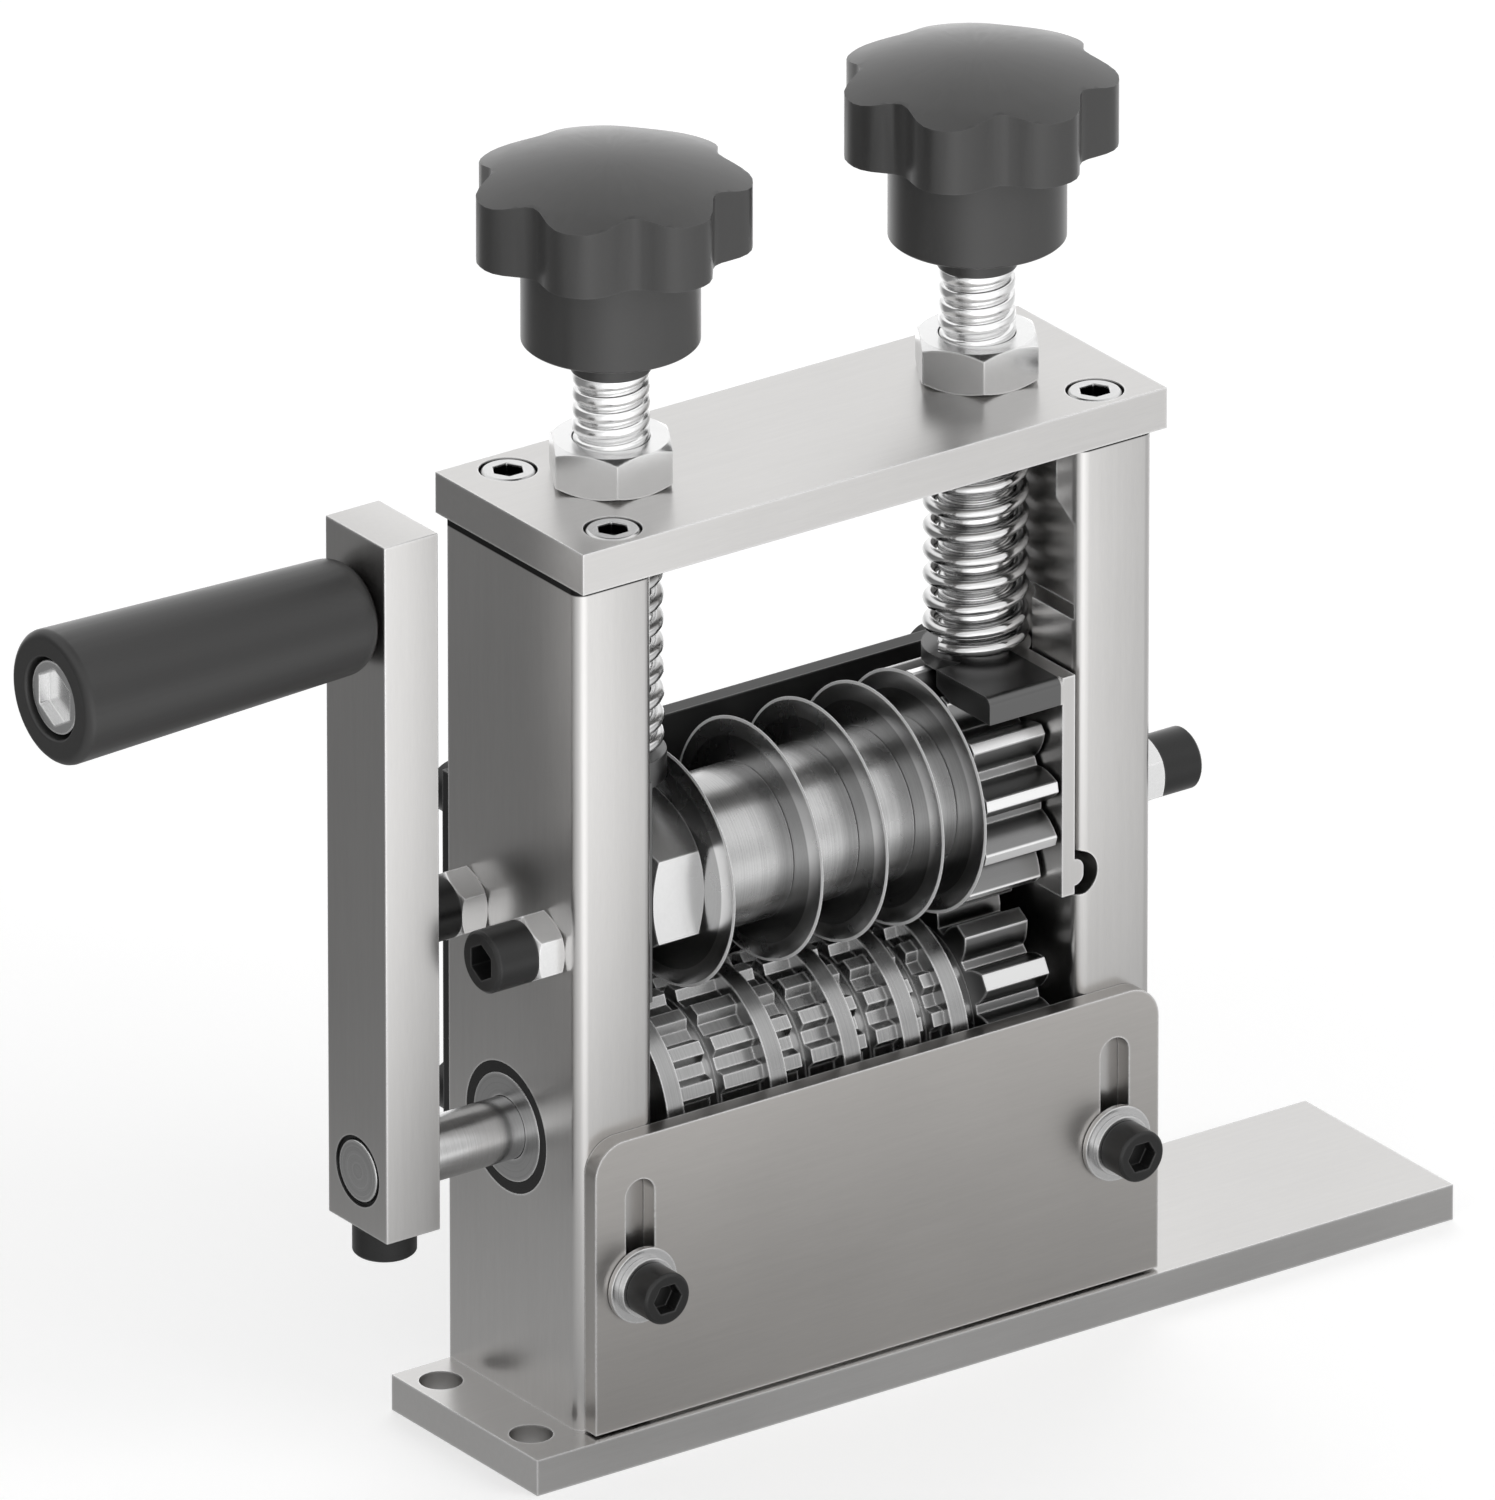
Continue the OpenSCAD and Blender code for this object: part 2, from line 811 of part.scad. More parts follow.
ring_count = spring_turns * turn_rings + 1;
spring_path = [for (i = [0:ring_count - 1]) spring_point(i / turn_rings)];

// Least gap between stretches of the wire that lie half a turn or more apart
spring_gap = min([
    for (i = [0:ring_count - 1], j = [0:ring_count - 1])
        if (j >= i + turn_rings / 2)
            norm(spring_path[j] - spring_path[i]) - spring_wire
]);
echo(spring_gap = spring_gap, spring_turns = spring_turns);

// A compression spring with closed ends that run straight for one wire diameter
module spring() {
    start = spring_path[0] - spring_wire * tangent_at(0);
    end = spring_path[ring_count - 1] + spring_wire * tangent_at(spring_turns);
    rings = [
        ring_at(start, 0),
        for (i = [0:ring_count - 1]) ring_at(spring_path[i], i / turn_rings),
        ring_at(end, spring_turns)
    ];
    last = len(rings) - 1;
    n = wire_sides;
    sides = [
        for (i = [0:last - 1], k = [0:n - 1])
            let (a = i * n + k, b = i * n + (k + 1) % n)
                each [[a, b, b + n], [a, b + n, a + n]]
    ];
    ends = [
        for (k = [1:n - 2])
            each [[0, k + 1, k], [last * n, last * n + k, last * n + k + 1]]
    ];
    rotate([0, 0, spring_start])
        polyhedron(points = [for (r = rings) each r], faces = concat(sides, ends));
}

module left_spring() {
    color("lightgray")
        translate([-rod_x, 0, 0])
            spring();
}

module right_spring() {
    color("lightgray")
        translate([rod_x, 0, 0])
            spring();
}

// Half of a tooth's width at a radius, as an angle, from the involute of the base circle
function roll_at(r) = sqrt(max(0, pow(r / base_r, 2) - 1)) * 180 / PI;
function involute_angle(r) = roll_at(r) - atan(roll_at(r) * PI / 180);
tooth_widening = profile_shift * gear_module * tan(pressure_angle) - backlash / 2;
function half_tooth(r) = 90 / gear_teeth + tooth_widening / pitch_r * 180 / PI
    + involute_angle(pitch_r) - involute_angle(r);

// Outline of a gear with a tooth on the X axis
module gear_outline(tip_r) {
    flank_radii = [
        gear_root_r,
        for (i = [0:flank_steps]) base_r + (tip_r - base_r) * i / flank_steps
    ];
    last = len(flank_radii) - 1;
    polygon([
        for (tooth = [0:gear_teeth - 1])
            let (middle = 360 * tooth / gear_teeth)
                each concat(
                    [for (r = flank_radii) r * direction(middle - half_tooth(r))],
                    [for (i = [last:-1:0]) flank_radii[i] * direction(middle + half_tooth(flank_radii[i]))]
                )
    ]);
}

// A spur gear along X with one tooth at the given angle from Y towards Z
module spur_gear(x0, x1, bore_r, tip_r, angle) {
    difference() {
        x_extrude(x0, x1)
            rotate([0, 0, angle])
                gear_outline(tip_r);
        x_rod(x0 - over, x1 + over, bore_r);
    }
}

module drive_shaft() {
    color("silver")
        translate([0, 0, drive_height])
            x_rod(arm_x0, side_outer + gap + collar_h, drive_r);
}

// Outline of a lane's coarse saw teeth
module lane_outline() {
    step = 360 / lane_teeth;
    polygon([
        for (i = [0:lane_teeth - 1])
            let (a = i * step)
                each [
                    lane_r * direction(a),
                    lane_r * direction(a + lane_tip_share * step),
                    lane_root_r * direction(a + lane_drop_share * step),
                    lane_root_r * direction(a + lane_root_share * step)
                ]
    ]);
}

// The feed roller: toothed lanes with a rib between each two blades and a groove under each
module feed_roller() {
    lane_starts = [
        roller_x0, for (i = [0:blade_count - 2]) blade_middle(i) + groove_width / 2
    ];
    rib_middles = [
        roller_x0 + rib_width / 2,
        for (i = [0:blade_count - 2])
            blade_middle(i) + rib_share * (blade_middle(i + 1) - blade_middle(i))
    ];
    color("darkgray")
        translate([0, 0, drive_height])
            difference() {
                union() {
                    x_rod(-side_inner + gap, roller_x0, hub_r);
                    x_rod(roller_x0, drive_gear_x0, core_r);
                    for (i = [0:blade_count - 1])
                        x_extrude(lane_starts[i], blade_middle(i) - groove_width / 2)
                            lane_outline();
                    for (x = rib_middles)
                        x_rod(x - rib_width / 2, x + rib_width / 2, rib_r);
                }
                x_rod(-side_inner, drive_gear_x0 + over, drive_r);
            }
}

// A gap between two teeth meets the spindle gear's tooth, and the hub runs on to the side plate
module drive_gear() {
    color("gray")
        translate([0, 0, drive_height]) {
            spur_gear(drive_gear_x0, gear_x1, drive_r, drive_tip_r, 90 + 180 / gear_teeth - gear_turn);
            difference() {
                x_rod(gear_x1, side_inner - gap, hub_r);
                x_rod(gear_x1 - over, side_inner, drive_r);
            }
        }
}

// The collar that holds the drive shaft in place on the right
module shaft_collar() {
    x0 = side_outer + gap;
    color("gray")
        translate([0, 0, drive_height])
            difference() {
                x_rod(x0, x0 + collar_h, collar_r);
                x_rod(x0 - over, x0 + collar_h + over, drive_r);
                translate([x0 + collar_h / 2, 0, 0])
                    cylinder(h = collar_r + over, r = m4_r, $fn = small_fn);
            }
}

module collar_screw() {
    length = collar_r - drive_r - gap;
    color("black")
        translate([side_outer + gap + collar_h / 2, 0, drive_height + drive_r])
            difference() {
                cylinder(h = length, r = m4_r, $fn = small_fn);
                translate([0, 0, length / 2])
                    hex_prism(collar_socket_af, length);
            }
}

module crank_arm() {
    color("silver")
        difference() {
            translate([arm_x0, -arm_width / 2, arm_z0])
                cube([arm_thickness, arm_width, arm_below + crank_throw + arm_above]);
            translate([0, 0, drive_height]) {
                x_rod(arm_x0 - over, arm_x1 + over, drive_r);
                x_rod(arm_x0 - over, arm_x0 + shaft_ring_depth, shaft_ring_r);
            }
            translate([0, 0, grip_z])
                x_rod(arm_x0 - over, arm_x1 + over, grip_bolt_r);
            translate([(arm_x0 + arm_x1) / 2, 0, arm_z0 - over])
                cylinder(h = arm_below + over, r = m6_r, $fn = small_fn);
        }
}

// The screw under the arm that clamps it to the shaft
module crank_screw() {
    color("black")
        translate([(arm_x0 + arm_x1) / 2, 0, arm_z0])
            mirror([0, 0, 1])
                socket_screw(m6_r, arm_below - drive_r, cap6_r, crank_head_h);
}

// The shoulder bolt that the handgrip turns on
module grip_bolt() {
    head_x = grip_x0 + recess_depth - gap;
    socket_depth = socket_depth_share * grip_head_h;
    color("lightgray")
        translate([0, 0, grip_z])
            difference() {
                union() {
                    x_rod(head_x, arm_x1, grip_bolt_r);
                    x_rod(head_x - grip_head_h, head_x, grip_head_r);
                }
                translate([head_x - grip_head_h - over, 0, 0])
                    rotate([0, 90, 0])
                        hex_prism(grip_socket_af, socket_depth + over);
            }
}

// Profile of the handgrip, from its outer end at zero to its rounded root at the arm
module grip_profile() {
    small_r = grip_small_share * grip_r;
    root = grip_length - grip_root_r;
    polygon([
        [0, 0], [grip_r - grip_edge_r, 0], [grip_r, grip_edge_r], [small_r, root], [0, root]
    ]);
    square([small_r - grip_root_r, grip_length]);
    translate([small_r - grip_root_r, root])
        intersection() {
            circle(grip_root_r, $fn = small_fn);
            square(grip_root_r);
        }
}

module crank_grip() {
    bore_r = grip_bolt_r + fit;
    color("black")
        translate([grip_x0, 0, grip_z])
            rotate([0, 90, 0])
                rotate_extrude()
                    difference() {
                        grip_profile();
                        translate([0, -over])
                            square([bore_r, grip_length + 2 * over]);
                        translate([0, -over])
                            square([recess_r, recess_depth + over]);
                    }
}

// A slider bracket on the right: a leg along the side plate, a bearing boss and a spring pad
module bracket(leg_front) {
    difference() {
        union() {
            translate([leg_inner, leg_front, leg_z])
                cube([leg_thickness, leg_back - leg_front, ledge_top - leg_z]);
            translate([0, 0, spindle_z])
                x_rod(leg_inner, leg_outer + boss_length, boss_r);
            translate([rod_x, 0, ledge_z])
                cylinder(h = ledge_thickness, r = pad_r);
            translate([rod_x, -pad_r, ledge_z])
                cube([leg_outer - rod_x, 2 * pad_r, ledge_thickness]);
            children();
        }
        translate([0, 0, spindle_z])
            x_rod(leg_inner - over, leg_outer + boss_length + over, journal_r + fit);
        translate([rod_x, 0, ledge_z - over]) {
            cylinder(h = ledge_thickness + 2 * over, r = neck_r + fit);
            cylinder(h = clip_recess + over, r = clip_r + gap);
        }
    }
}

module left_bracket() {
    color("dimgray")
        mirror([1, 0, 0])
            bracket(side_front + left_leg_inset);
}

module right_bracket() {
    color("dimgray")
        difference() {
            bracket(side_front) {
                x_extrude(gear_x0 + gap, leg_outer)
                    translate([side_front, ledge_z])
                        hood_outline();
                bracket_foot();
            }
            translate([0, 0, spindle_z])
                x_rod(gear_x0 - over, leg_inner, spindle_tip_r + ledge_clearance);
        }
}

// The rounded foot of the right bracket, which moves in the notch of the side plate
module bracket_foot() {
    translate([leg_outer, leg_back, 0])
        rotate([90, 0, 0])
            linear_extrude(leg_back - side_front) {
                for (z = [foot_z0 + foot_r, foot_z1 - foot_r])
                    translate([0, z])
                        circle(foot_r, $fn = small_fn);
                translate([-foot_r, foot_z0 + foot_r])
                    square([2 * foot_r, foot_z1 - foot_z0 - 2 * foot_r]);
            }
}

module hood_outline() {
    r = hood_edge_r;
    translate([r, 0])
        square([hood_depth - r, ledge_thickness]);
    square([hood_depth, ledge_thickness - r]);
    translate([r, ledge_thickness - r])
        circle(r, $fn = small_fn);
}

module blade_spindle() {
    shoulder_x = leg_inner - gap;
    journal_x = leg_outer + boss_length - gap;
    color("silver")
        translate([0, 0, spindle_z]) {
            x_rod(-journal_x, journal_x, journal_r);
            x_rod(-shoulder_x, shoulder_x, spindle_r);
        }
}

// Five discs with a ground edge on both faces
module blades() {
    flat_r = blade_r - blade_bevel;
    color("silver")
        for (i = [0:blade_count - 1])
            translate([blade_x(i), 0, spindle_z])
                rotate([0, 90, 0])
                    rotate_extrude()
                        polygon([
                            [blade_bore_r, 0], [flat_r, 0],
                            [blade_r, (blade_thickness - blade_edge) / 2],
                            [blade_r, (blade_thickness + blade_edge) / 2],
                            [flat_r, blade_thickness], [blade_bore_r, blade_thickness]
                        ]);
}

module spacers() {
    color("lightgray")
        for (i = [0:blade_count - 2])
            translate([0, 0, spindle_z])
                difference() {
                    x_rod(blade_x(i) + blade_thickness, blade_x(i + 1), spacer_d / 2);
                    x_rod(blade_x(i), blade_x(i + 1) + over, blade_bore_r);
                }
}

module spindle_nut() {
    color("lightgray")
        translate([blade_x(0) - spindle_nut_h, 0, spindle_z])
            rotate([0, 90, 0])
                hex_nut(spindle_nut_af, spindle_nut_h, blade_bore_r);
}

module spindle_gear() {
    color("gray")
        translate([0, 0, spindle_z])
            spur_gear(gear_x0, gear_x1, blade_bore_r, spindle_tip_r, gear_turn - 90);
}

// An adjusting rod with a thin neck, which a clip holds in the bracket
module adjusting_rod() {
    clip_top = clip_z + clip_thickness;
    rotate_extrude()
        polygon([
            [0, clip_z - gap], [neck_r, clip_z - gap], [neck_r, clip_z - fit],
            [groove_r, clip_z - fit], [groove_r, clip_top + fit], [neck_r, clip_top + fit],
            [neck_r, ledge_top + fit], [rod_r, ledge_top + fit], [rod_r, rim_z], [0, rim_z]
        ]);
}

module rod_clip() {
    difference() {
        ring(clip_r, groove_r + fit, clip_thickness);
        translate([0, -clip_slot / 2, -over])
            cube([clip_r + over, clip_slot, clip_thickness + 2 * over]);
    }
}

// Radius of a knob's outline, largest on a lobe and least in a valley
function lobe_r(angle) =
    knob_d / 2 * (1 - valley_share * pow((1 - cos(knob_lobes * angle)) / 2, valley_power));

module knob_outline() {
    steps = knob_lobes * lobe_points;
    polygon([
        for (i = [0:steps - 1])
            let (a = 360 * i / steps)
                lobe_r(a) * direction(a + knob_angle)
    ]);
}

// A lobed knob with a crowned top, a hub and a short neck
module knob() {
    r = knob_d / 2;
    hub_r = knob_hub_d / 2;
    difference() {
        union() {
            translate([0, 0, knob_z])
                cylinder(h = knob_neck_h, r = knob_neck_r);
            translate([0, 0, hub_z])
                rotate_extrude()
                    polygon([
                        [0, 0], [hub_r - knob_edge, 0], [hub_r, knob_edge],
                        [hub_r, knob_hub_h], [0, knob_hub_h]
                    ]);
            translate([0, 0, rim_z])
                intersection() {
                    linear_extrude(knob_rim_h + knob_crown)
                        knob_outline();
                    rotate_extrude()
                        polygon([
                            [0, 0], [r, 0],
                            for (i = [0:crown_steps])
                                let (share = 1 - i / crown_steps)
                                    [r * share, knob_rim_h + knob_crown * (1 - share * share)]
                        ]);
                }
        }
        translate([0, 0, knob_z - over])
            cylinder(h = rim_z - knob_z + over, r = rod_r);
    }
}

module left_rod() {
    color("lightgray")
        translate([-rod_x, 0, 0])
            adjusting_rod();
}

module left_knob() {
    color("black")
        translate([-rod_x, 0, 0])
            knob();
}

module left_clip() {
    color("gray")
        translate([-rod_x, 0, clip_z])
            rod_clip();
}

module right_rod() {
    color("lightgray")
        translate([rod_x, 0, 0])
            adjusting_rod();
}

module right_knob() {
    color("black")
        translate([rod_x, 0, 0])
            knob();
}

module right_clip() {
    color("gray")
        translate([rod_x, 0, clip_z])
            rod_clip();
}

base_plate();
left_side_plate();
right_side_plate();
top_plate();
top_screws();
base_screws();
rod_nuts();
gib_screws();
gib_nuts();
guide_plate();
guide_spacers();
guide_screws();
shaft_bushes();
seal_rings();
cover_screws();
cover_washers();
lock_washers();
left_spring();
right_spring();
front_cover();
drive_shaft();
feed_roller();
drive_gear();
shaft_collar();
collar_screw();
crank_arm();
crank_screw();
grip_bolt();
crank_grip();
left_bracket();
right_bracket();
blade_spindle();
blades();
spacers();
spindle_nut();
spindle_gear();
left_rod();
left_knob();
left_clip();
right_rod();
right_knob();
right_clip();
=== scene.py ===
import json
import math

import bmesh
import bpy
from mathutils import Matrix, Vector


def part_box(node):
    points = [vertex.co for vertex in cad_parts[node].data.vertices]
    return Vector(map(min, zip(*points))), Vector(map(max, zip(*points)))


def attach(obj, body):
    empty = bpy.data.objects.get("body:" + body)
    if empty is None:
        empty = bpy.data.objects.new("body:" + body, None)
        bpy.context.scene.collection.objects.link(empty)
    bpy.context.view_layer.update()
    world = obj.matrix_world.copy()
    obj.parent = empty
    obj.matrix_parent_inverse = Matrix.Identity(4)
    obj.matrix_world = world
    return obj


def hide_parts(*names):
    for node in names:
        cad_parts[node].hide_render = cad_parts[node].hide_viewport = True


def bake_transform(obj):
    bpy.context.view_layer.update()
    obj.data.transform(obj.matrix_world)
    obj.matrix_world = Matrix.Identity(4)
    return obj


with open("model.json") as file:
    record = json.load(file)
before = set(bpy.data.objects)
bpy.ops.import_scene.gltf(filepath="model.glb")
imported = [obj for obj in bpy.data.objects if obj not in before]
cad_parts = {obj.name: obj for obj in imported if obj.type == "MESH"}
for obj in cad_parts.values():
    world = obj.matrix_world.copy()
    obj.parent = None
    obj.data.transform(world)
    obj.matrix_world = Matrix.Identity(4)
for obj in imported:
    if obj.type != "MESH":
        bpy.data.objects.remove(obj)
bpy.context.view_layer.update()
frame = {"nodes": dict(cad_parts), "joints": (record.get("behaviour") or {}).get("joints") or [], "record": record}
mm = 0.001
scene = bpy.context.scene
bodyOf = {node: body for body, nodes in frame["record"]["behaviour"]["bodies"].items() for node in nodes}
print("frame loaded:", len(bodyOf), "nodes")

# The two shafts' centre lines run along X, at the heights of the frame's joints
jointOf = {joint["name"]: joint for joint in frame["joints"]}
shaftCentre = (0, 0, jointOf["crank_turn"]["pos_m"][2])
spindleCentre = (0, 0, jointOf["blade_turn"]["pos_m"][2])


# Node helpers

def feed(tree, socket, value):
    # A node's input takes another node's output or a plain value
    if isinstance(value, bpy.types.NodeSocket):
        tree.links.new(value, socket)
    elif value is not None:
        socket.default_value = value


def addNode(tree, kind, place, inputs=None, **settings):
    node = tree.nodes.new(kind)
    node.location = place
    for name, value in settings.items():
        setattr(node, name, value)
    for name, value in (inputs or {}).items():
        feed(tree, node.inputs[name], value)
    return node


def calculate(tree, operation, first, second, place, third=None):
    node = addNode(tree, "ShaderNodeMath", place, {0: first, 1: second, 2: third}, operation=operation)
    return node.outputs[0]


def splitVector(tree, vector, place):
    return addNode(tree, "ShaderNodeSeparateXYZ", place, {0: vector}).outputs


def smoothRise(tree, value, low, high, place):
    # From zero at one value to one at the other, which may be the lower of the two
    rise = addNode(tree, "ShaderNodeMapRange", place, {"Value": value, "From Min": low, "From Max": high},
                   interpolation_type="SMOOTHSTEP")
    return rise.outputs["Result"]


def blendColours(tree, factor, first, second, place):
    mix = addNode(tree, "ShaderNodeMix", place, {0: factor}, data_type="RGBA", clamp_factor=True)
    for socket, value in zip([s for s in mix.inputs if s.type == "RGBA"], (first, second)):
        feed(tree, socket, value)
    return next(s for s in mix.outputs if s.type == "RGBA")


# Node groups

def startGroup(name, inputs, outputs):
    group = bpy.data.node_groups.new(name, "ShaderNodeTree")
    for side, sockets in (("INPUT", inputs), ("OUTPUT", outputs)):
        for label, kind in sockets.items():
            group.interface.new_socket(name=label, in_out=side, socket_type="NodeSocket" + kind)
    return group, addNode(group, "NodeGroupInput", (-900, 0)), addNode(group, "NodeGroupOutput", (700, 0))


# The grain's layers: the noise's scale and detail, and the position that it is drawn on
grainLayers = {
    "Fine": (1.0, 3.0, "Stretched"),
    "Streak": (0.13, 2.0, "Stretched"),
    "Cloud": (26.0, 2.0, "Place"),
}
grainRoughShare = 0.6


def makeGrainGroup():
    # Fine grain, longer streaks and soft clouds, all about zero, from a stretched and a plain position
    group, start, end = startGroup(
        "machinedGrain",
        {"Stretched": "Vector", "Place": "Vector", "Fine": "Float", "Streak": "Float", "Cloud": "Float"},
        {"Tone": "Float", "Rough": "Float", "Height": "Float"})
    noises, layers = {}, {}
    for row, (label, (scale, detail, position)) in enumerate(grainLayers.items()):
        height = 200 - 200 * row
        noises[label] = addNode(
            group, "ShaderNodeTexNoise", (-650, height),
            {"Vector": start.outputs[position], "Scale": scale, "Detail": detail}).outputs[0]
        centred = calculate(group, "SUBTRACT", noises[label], 0.5, (-400, height))
        layers[label] = calculate(group, "MULTIPLY", centred, start.outputs[label], (-200, height))
    soft = calculate(group, "ADD", layers["Streak"], layers["Cloud"], (50, -100))
    feed(group, end.inputs["Tone"], calculate(group, "ADD", layers["Fine"], soft, (250, 100)))
    feed(group, end.inputs["Rough"], calculate(group, "MULTIPLY", soft, grainRoughShare, (250, -100)))
    feed(group, end.inputs["Height"], noises["Fine"])
    return group


def makeEdgeGroup():
    # How much an edge stands out, for bare or worn corners and as a painted highlight along edges
    group, start, end = startGroup("edgeWearAndHighlight", {"Width": "Float", "Gain": "Float"}, {"Edge": "Float"})
    bevel = addNode(group, "ShaderNodeBevel", (-650, 100), {"Radius": start.outputs["Width"]}, samples=4)
    geometry = addNode(group, "ShaderNodeNewGeometry", (-650, -100))
    dot = addNode(group, "ShaderNodeVectorMath", (-400, 0),
                  {0: bevel.outputs[0], 1: geometry.outputs["Normal"]}, operation="DOT_PRODUCT")
    bent = calculate(group, "SUBTRACT", 1.0, dot.outputs["Value"], (-200, 0))
    strong = addNode(group, "ShaderNodeMath", (100, 0), {0: bent, 1: start.outputs["Gain"]},
                     operation="MULTIPLY", use_clamp=True)
    feed(group, end.inputs["Edge"], strong.outputs[0])
    return group


def makeTurnedGroup():
    # Tool marks of a lathe round the X axis of the position that comes in, and the distance from that axis
    group, start, end = startGroup(
        "turnedMarks", {"Position": "Vector", "Scale": "Float"}, {"Marks": "Float", "Radius": "Float"})
    x, y, z = splitVector(group, start.outputs["Position"], (-700, 0))
    ySquare = calculate(group, "MULTIPLY", y, y, (-500, -50))
    zSquare = calculate(group, "MULTIPLY", z, z, (-500, -200))
    squares = calculate(group, "ADD", ySquare, zSquare, (-350, 0))
    radius = calculate(group, "SQRT", squares, None, (-200, 0))
    join = addNode(group, "ShaderNodeCombineXYZ", (-50, 0), {0: x, 1: radius})
    marks = addNode(group, "ShaderNodeTexNoise", (200, 0), noise_dimensions="2D")
    feed(group, marks.inputs["Vector"], join.outputs[0])
    feed(group, marks.inputs["Scale"], start.outputs["Scale"])
    feed(group, marks.inputs["Detail"], 3.0)
    feed(group, end.inputs["Marks"], calculate(group, "SUBTRACT", marks.outputs[0], 0.5, (400, 0)))
    feed(group, end.inputs["Radius"], radius)
    return group


grainGroup = makeGrainGroup()
edgeGroup = makeEdgeGroup()
turnedGroup = makeTurnedGroup()
print("node groups made")


# Materials

def useGroup(tree, group, place, inputs):
    return addNode(tree, "ShaderNodeGroup", place, inputs, node_tree=group).outputs


def turnRound(tree, position, centre, scale, place):
    # The lathe marks' group, with its axis moved to a shaft's centre line
    centred = addNode(tree, "ShaderNodeMapping", (place[0] - 250, place[1]),
                      {"Vector": position, "Location": [-c for c in centre]})
    return useGroup(tree, turnedGroup, place, {"Position": centred.outputs[0], "Scale": scale})


def radialBand(tree, band, position, under):
    # Another tone past a radius round the X axis: painted highlights on gear lands and a blade's bevel, and
    # painted shade in the ring round a boss
    radius = turnRound(tree, position, band["centre"], 1.0, (-1050, -800))["Radius"]
    factor = smoothRise(tree, radius, band["from"], band["to"], (-800, -800))
    if "until" in band:
        inside = calculate(tree, "LESS_THAN", radius, band["until"], (-800, -950))
        factor = calculate(tree, "MULTIPLY", factor, inside, (-600, -900))
    return blendColours(tree, factor, under, band["colour"], (0, 100)), factor


def zoneTone(tree, zone, position, under):
    # Another tone past a plane, such as painted shade in a socket, a painted shadow under an overhang and painted
    # shade on a part inside the frame
    along = splitVector(tree, position, (-1300, -1000))[zone["along"]]
    past = smoothRise(tree, along, zone["from"], zone["to"], (-1050, -1000))
    return blendColours(tree, past, under, zone["colour"], (150, 100))


def crownNormal(tree, crown, position):
    # A flat bar is shaded as if its narrow face were a little rounded across X
    x = splitVector(tree, position, (-1300, -1300))[0]
    offset = calculate(tree, "SUBTRACT", x, crown["middle"], (-1050, -1300))
    square = calculate(tree, "MULTIPLY", offset, offset, (-850, -1300))
    height = calculate(tree, "MULTIPLY", square, -crown["slope"] / crown["width"], (-650, -1300))
    swell = addNode(tree, "ShaderNodeBump", (-450, -1300), {"Strength": 1.0, "Distance": 1.0, "Height": height})
    return swell.outputs[0]


def makeFinish(name, look):
    # One finish: a grained tone, lathe marks where it is turned, and edges, bands and zones of other tones
    material = bpy.data.materials.new(name)
    material.use_nodes = True
    tree = material.node_tree
    shader = tree.nodes["Principled BSDF"]
    if "specular" in look:
        shader.inputs["Specular IOR Level"].default_value = look["specular"]
    position = addNode(tree, "ShaderNodeTexCoord", (-1500, 0)).outputs["Object"]
    stretch = addNode(tree, "ShaderNodeMapping", (-1300, 100), {"Vector": position, "Scale": look["grain"]})
    grain = useGroup(tree, grainGroup, (-1050, 100), {
        "Stretched": stretch.outputs[0], "Place": position,
        "Fine": look["fine"], "Streak": look["streak"], "Cloud": look["cloud"]})
    tone, height = grain["Tone"], grain["Height"]
    if "marks" in look:
        turned = turnRound(tree, position, look["centre"], look["marks"], (-1000, -250))
        marks = calculate(tree, "MULTIPLY", turned["Marks"], look["markTone"], (-800, -250))
        tone = calculate(tree, "ADD", tone, marks, (-700, 0))
        height = calculate(tree, "ADD", height, turned["Marks"], (-700, -150))
    wearAndHighlight = useGroup(tree, edgeGroup, (-1050, -500), {"Width": look["edgeWidth"], "Gain": look["edgeGain"]})
    edge = wearAndHighlight["Edge"]
    factor = calculate(tree, "ADD", tone, 1.0, (-550, 0))
    shade = addNode(tree, "ShaderNodeVectorMath", (-400, 100), operation="SCALE")
    feed(tree, shade.inputs[0], look["colour"][:3])
    feed(tree, shade.inputs["Scale"], factor)
    colour = blendColours(tree, edge, shade.outputs[0], look["edgeColour"], (-200, 100))
    # Edges, partly worn and partly a painted highlight, and a blade's bevel, a painted highlight, are made less
    # metallic, so that they look pale from every side
    dull = calculate(tree, "MULTIPLY", edge, look["edgeDull"], (-400, -600))
    for band in look.get("bands", ()):
        colour, reached = radialBand(tree, band, position, colour)
        if "dull" in band:
            dull = calculate(tree, "MULTIPLY_ADD", reached, band["dull"], (-200, -600), dull)
    for zone in look.get("zones", ()):
        colour = zoneTone(tree, zone, position, colour)
    feed(tree, shader.inputs["Base Color"], colour)
    bare = addNode(tree, "ShaderNodeMath", (0, -600), {0: look["metallic"], 1: dull},
                   operation="SUBTRACT", use_clamp=True)
    feed(tree, shader.inputs["Metallic"], bare.outputs[0])
    rough = calculate(tree, "ADD", grain["Rough"], look["roughness"], (-400, -100))
    rough = calculate(tree, "MULTIPLY_ADD", edge, look["edgeRough"], (-200, -100), rough)
    feed(tree, shader.inputs["Roughness"], rough)
    bump = addNode(tree, "ShaderNodeBump", (-200, -300), {
        "Strength": look["bump"], "Distance": look["bumpDepth"], "Height": height})
    if "crown" in look:
        feed(tree, bump.inputs["Normal"], crownNormal(tree, look["crown"], position))
    feed(tree, shader.inputs["Normal"], bump.outputs[0])
    return material


def grey(level, warmth=0.0):
    return (level * (1 + warmth), level, level * (1 - warmth), 1.0)


def crownOf(node, slope):
    low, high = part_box(node)
    return {"middle": (low.x + high.x) / 2, "width": high.x - low.x, "slope": slope}


def around(centre, start, end, colour, **more):
    # A band between two radii in metres, which goes on outwards or stops at "until"
    return {"centre": centre, "from": start, "to": end, "colour": colour, **more}


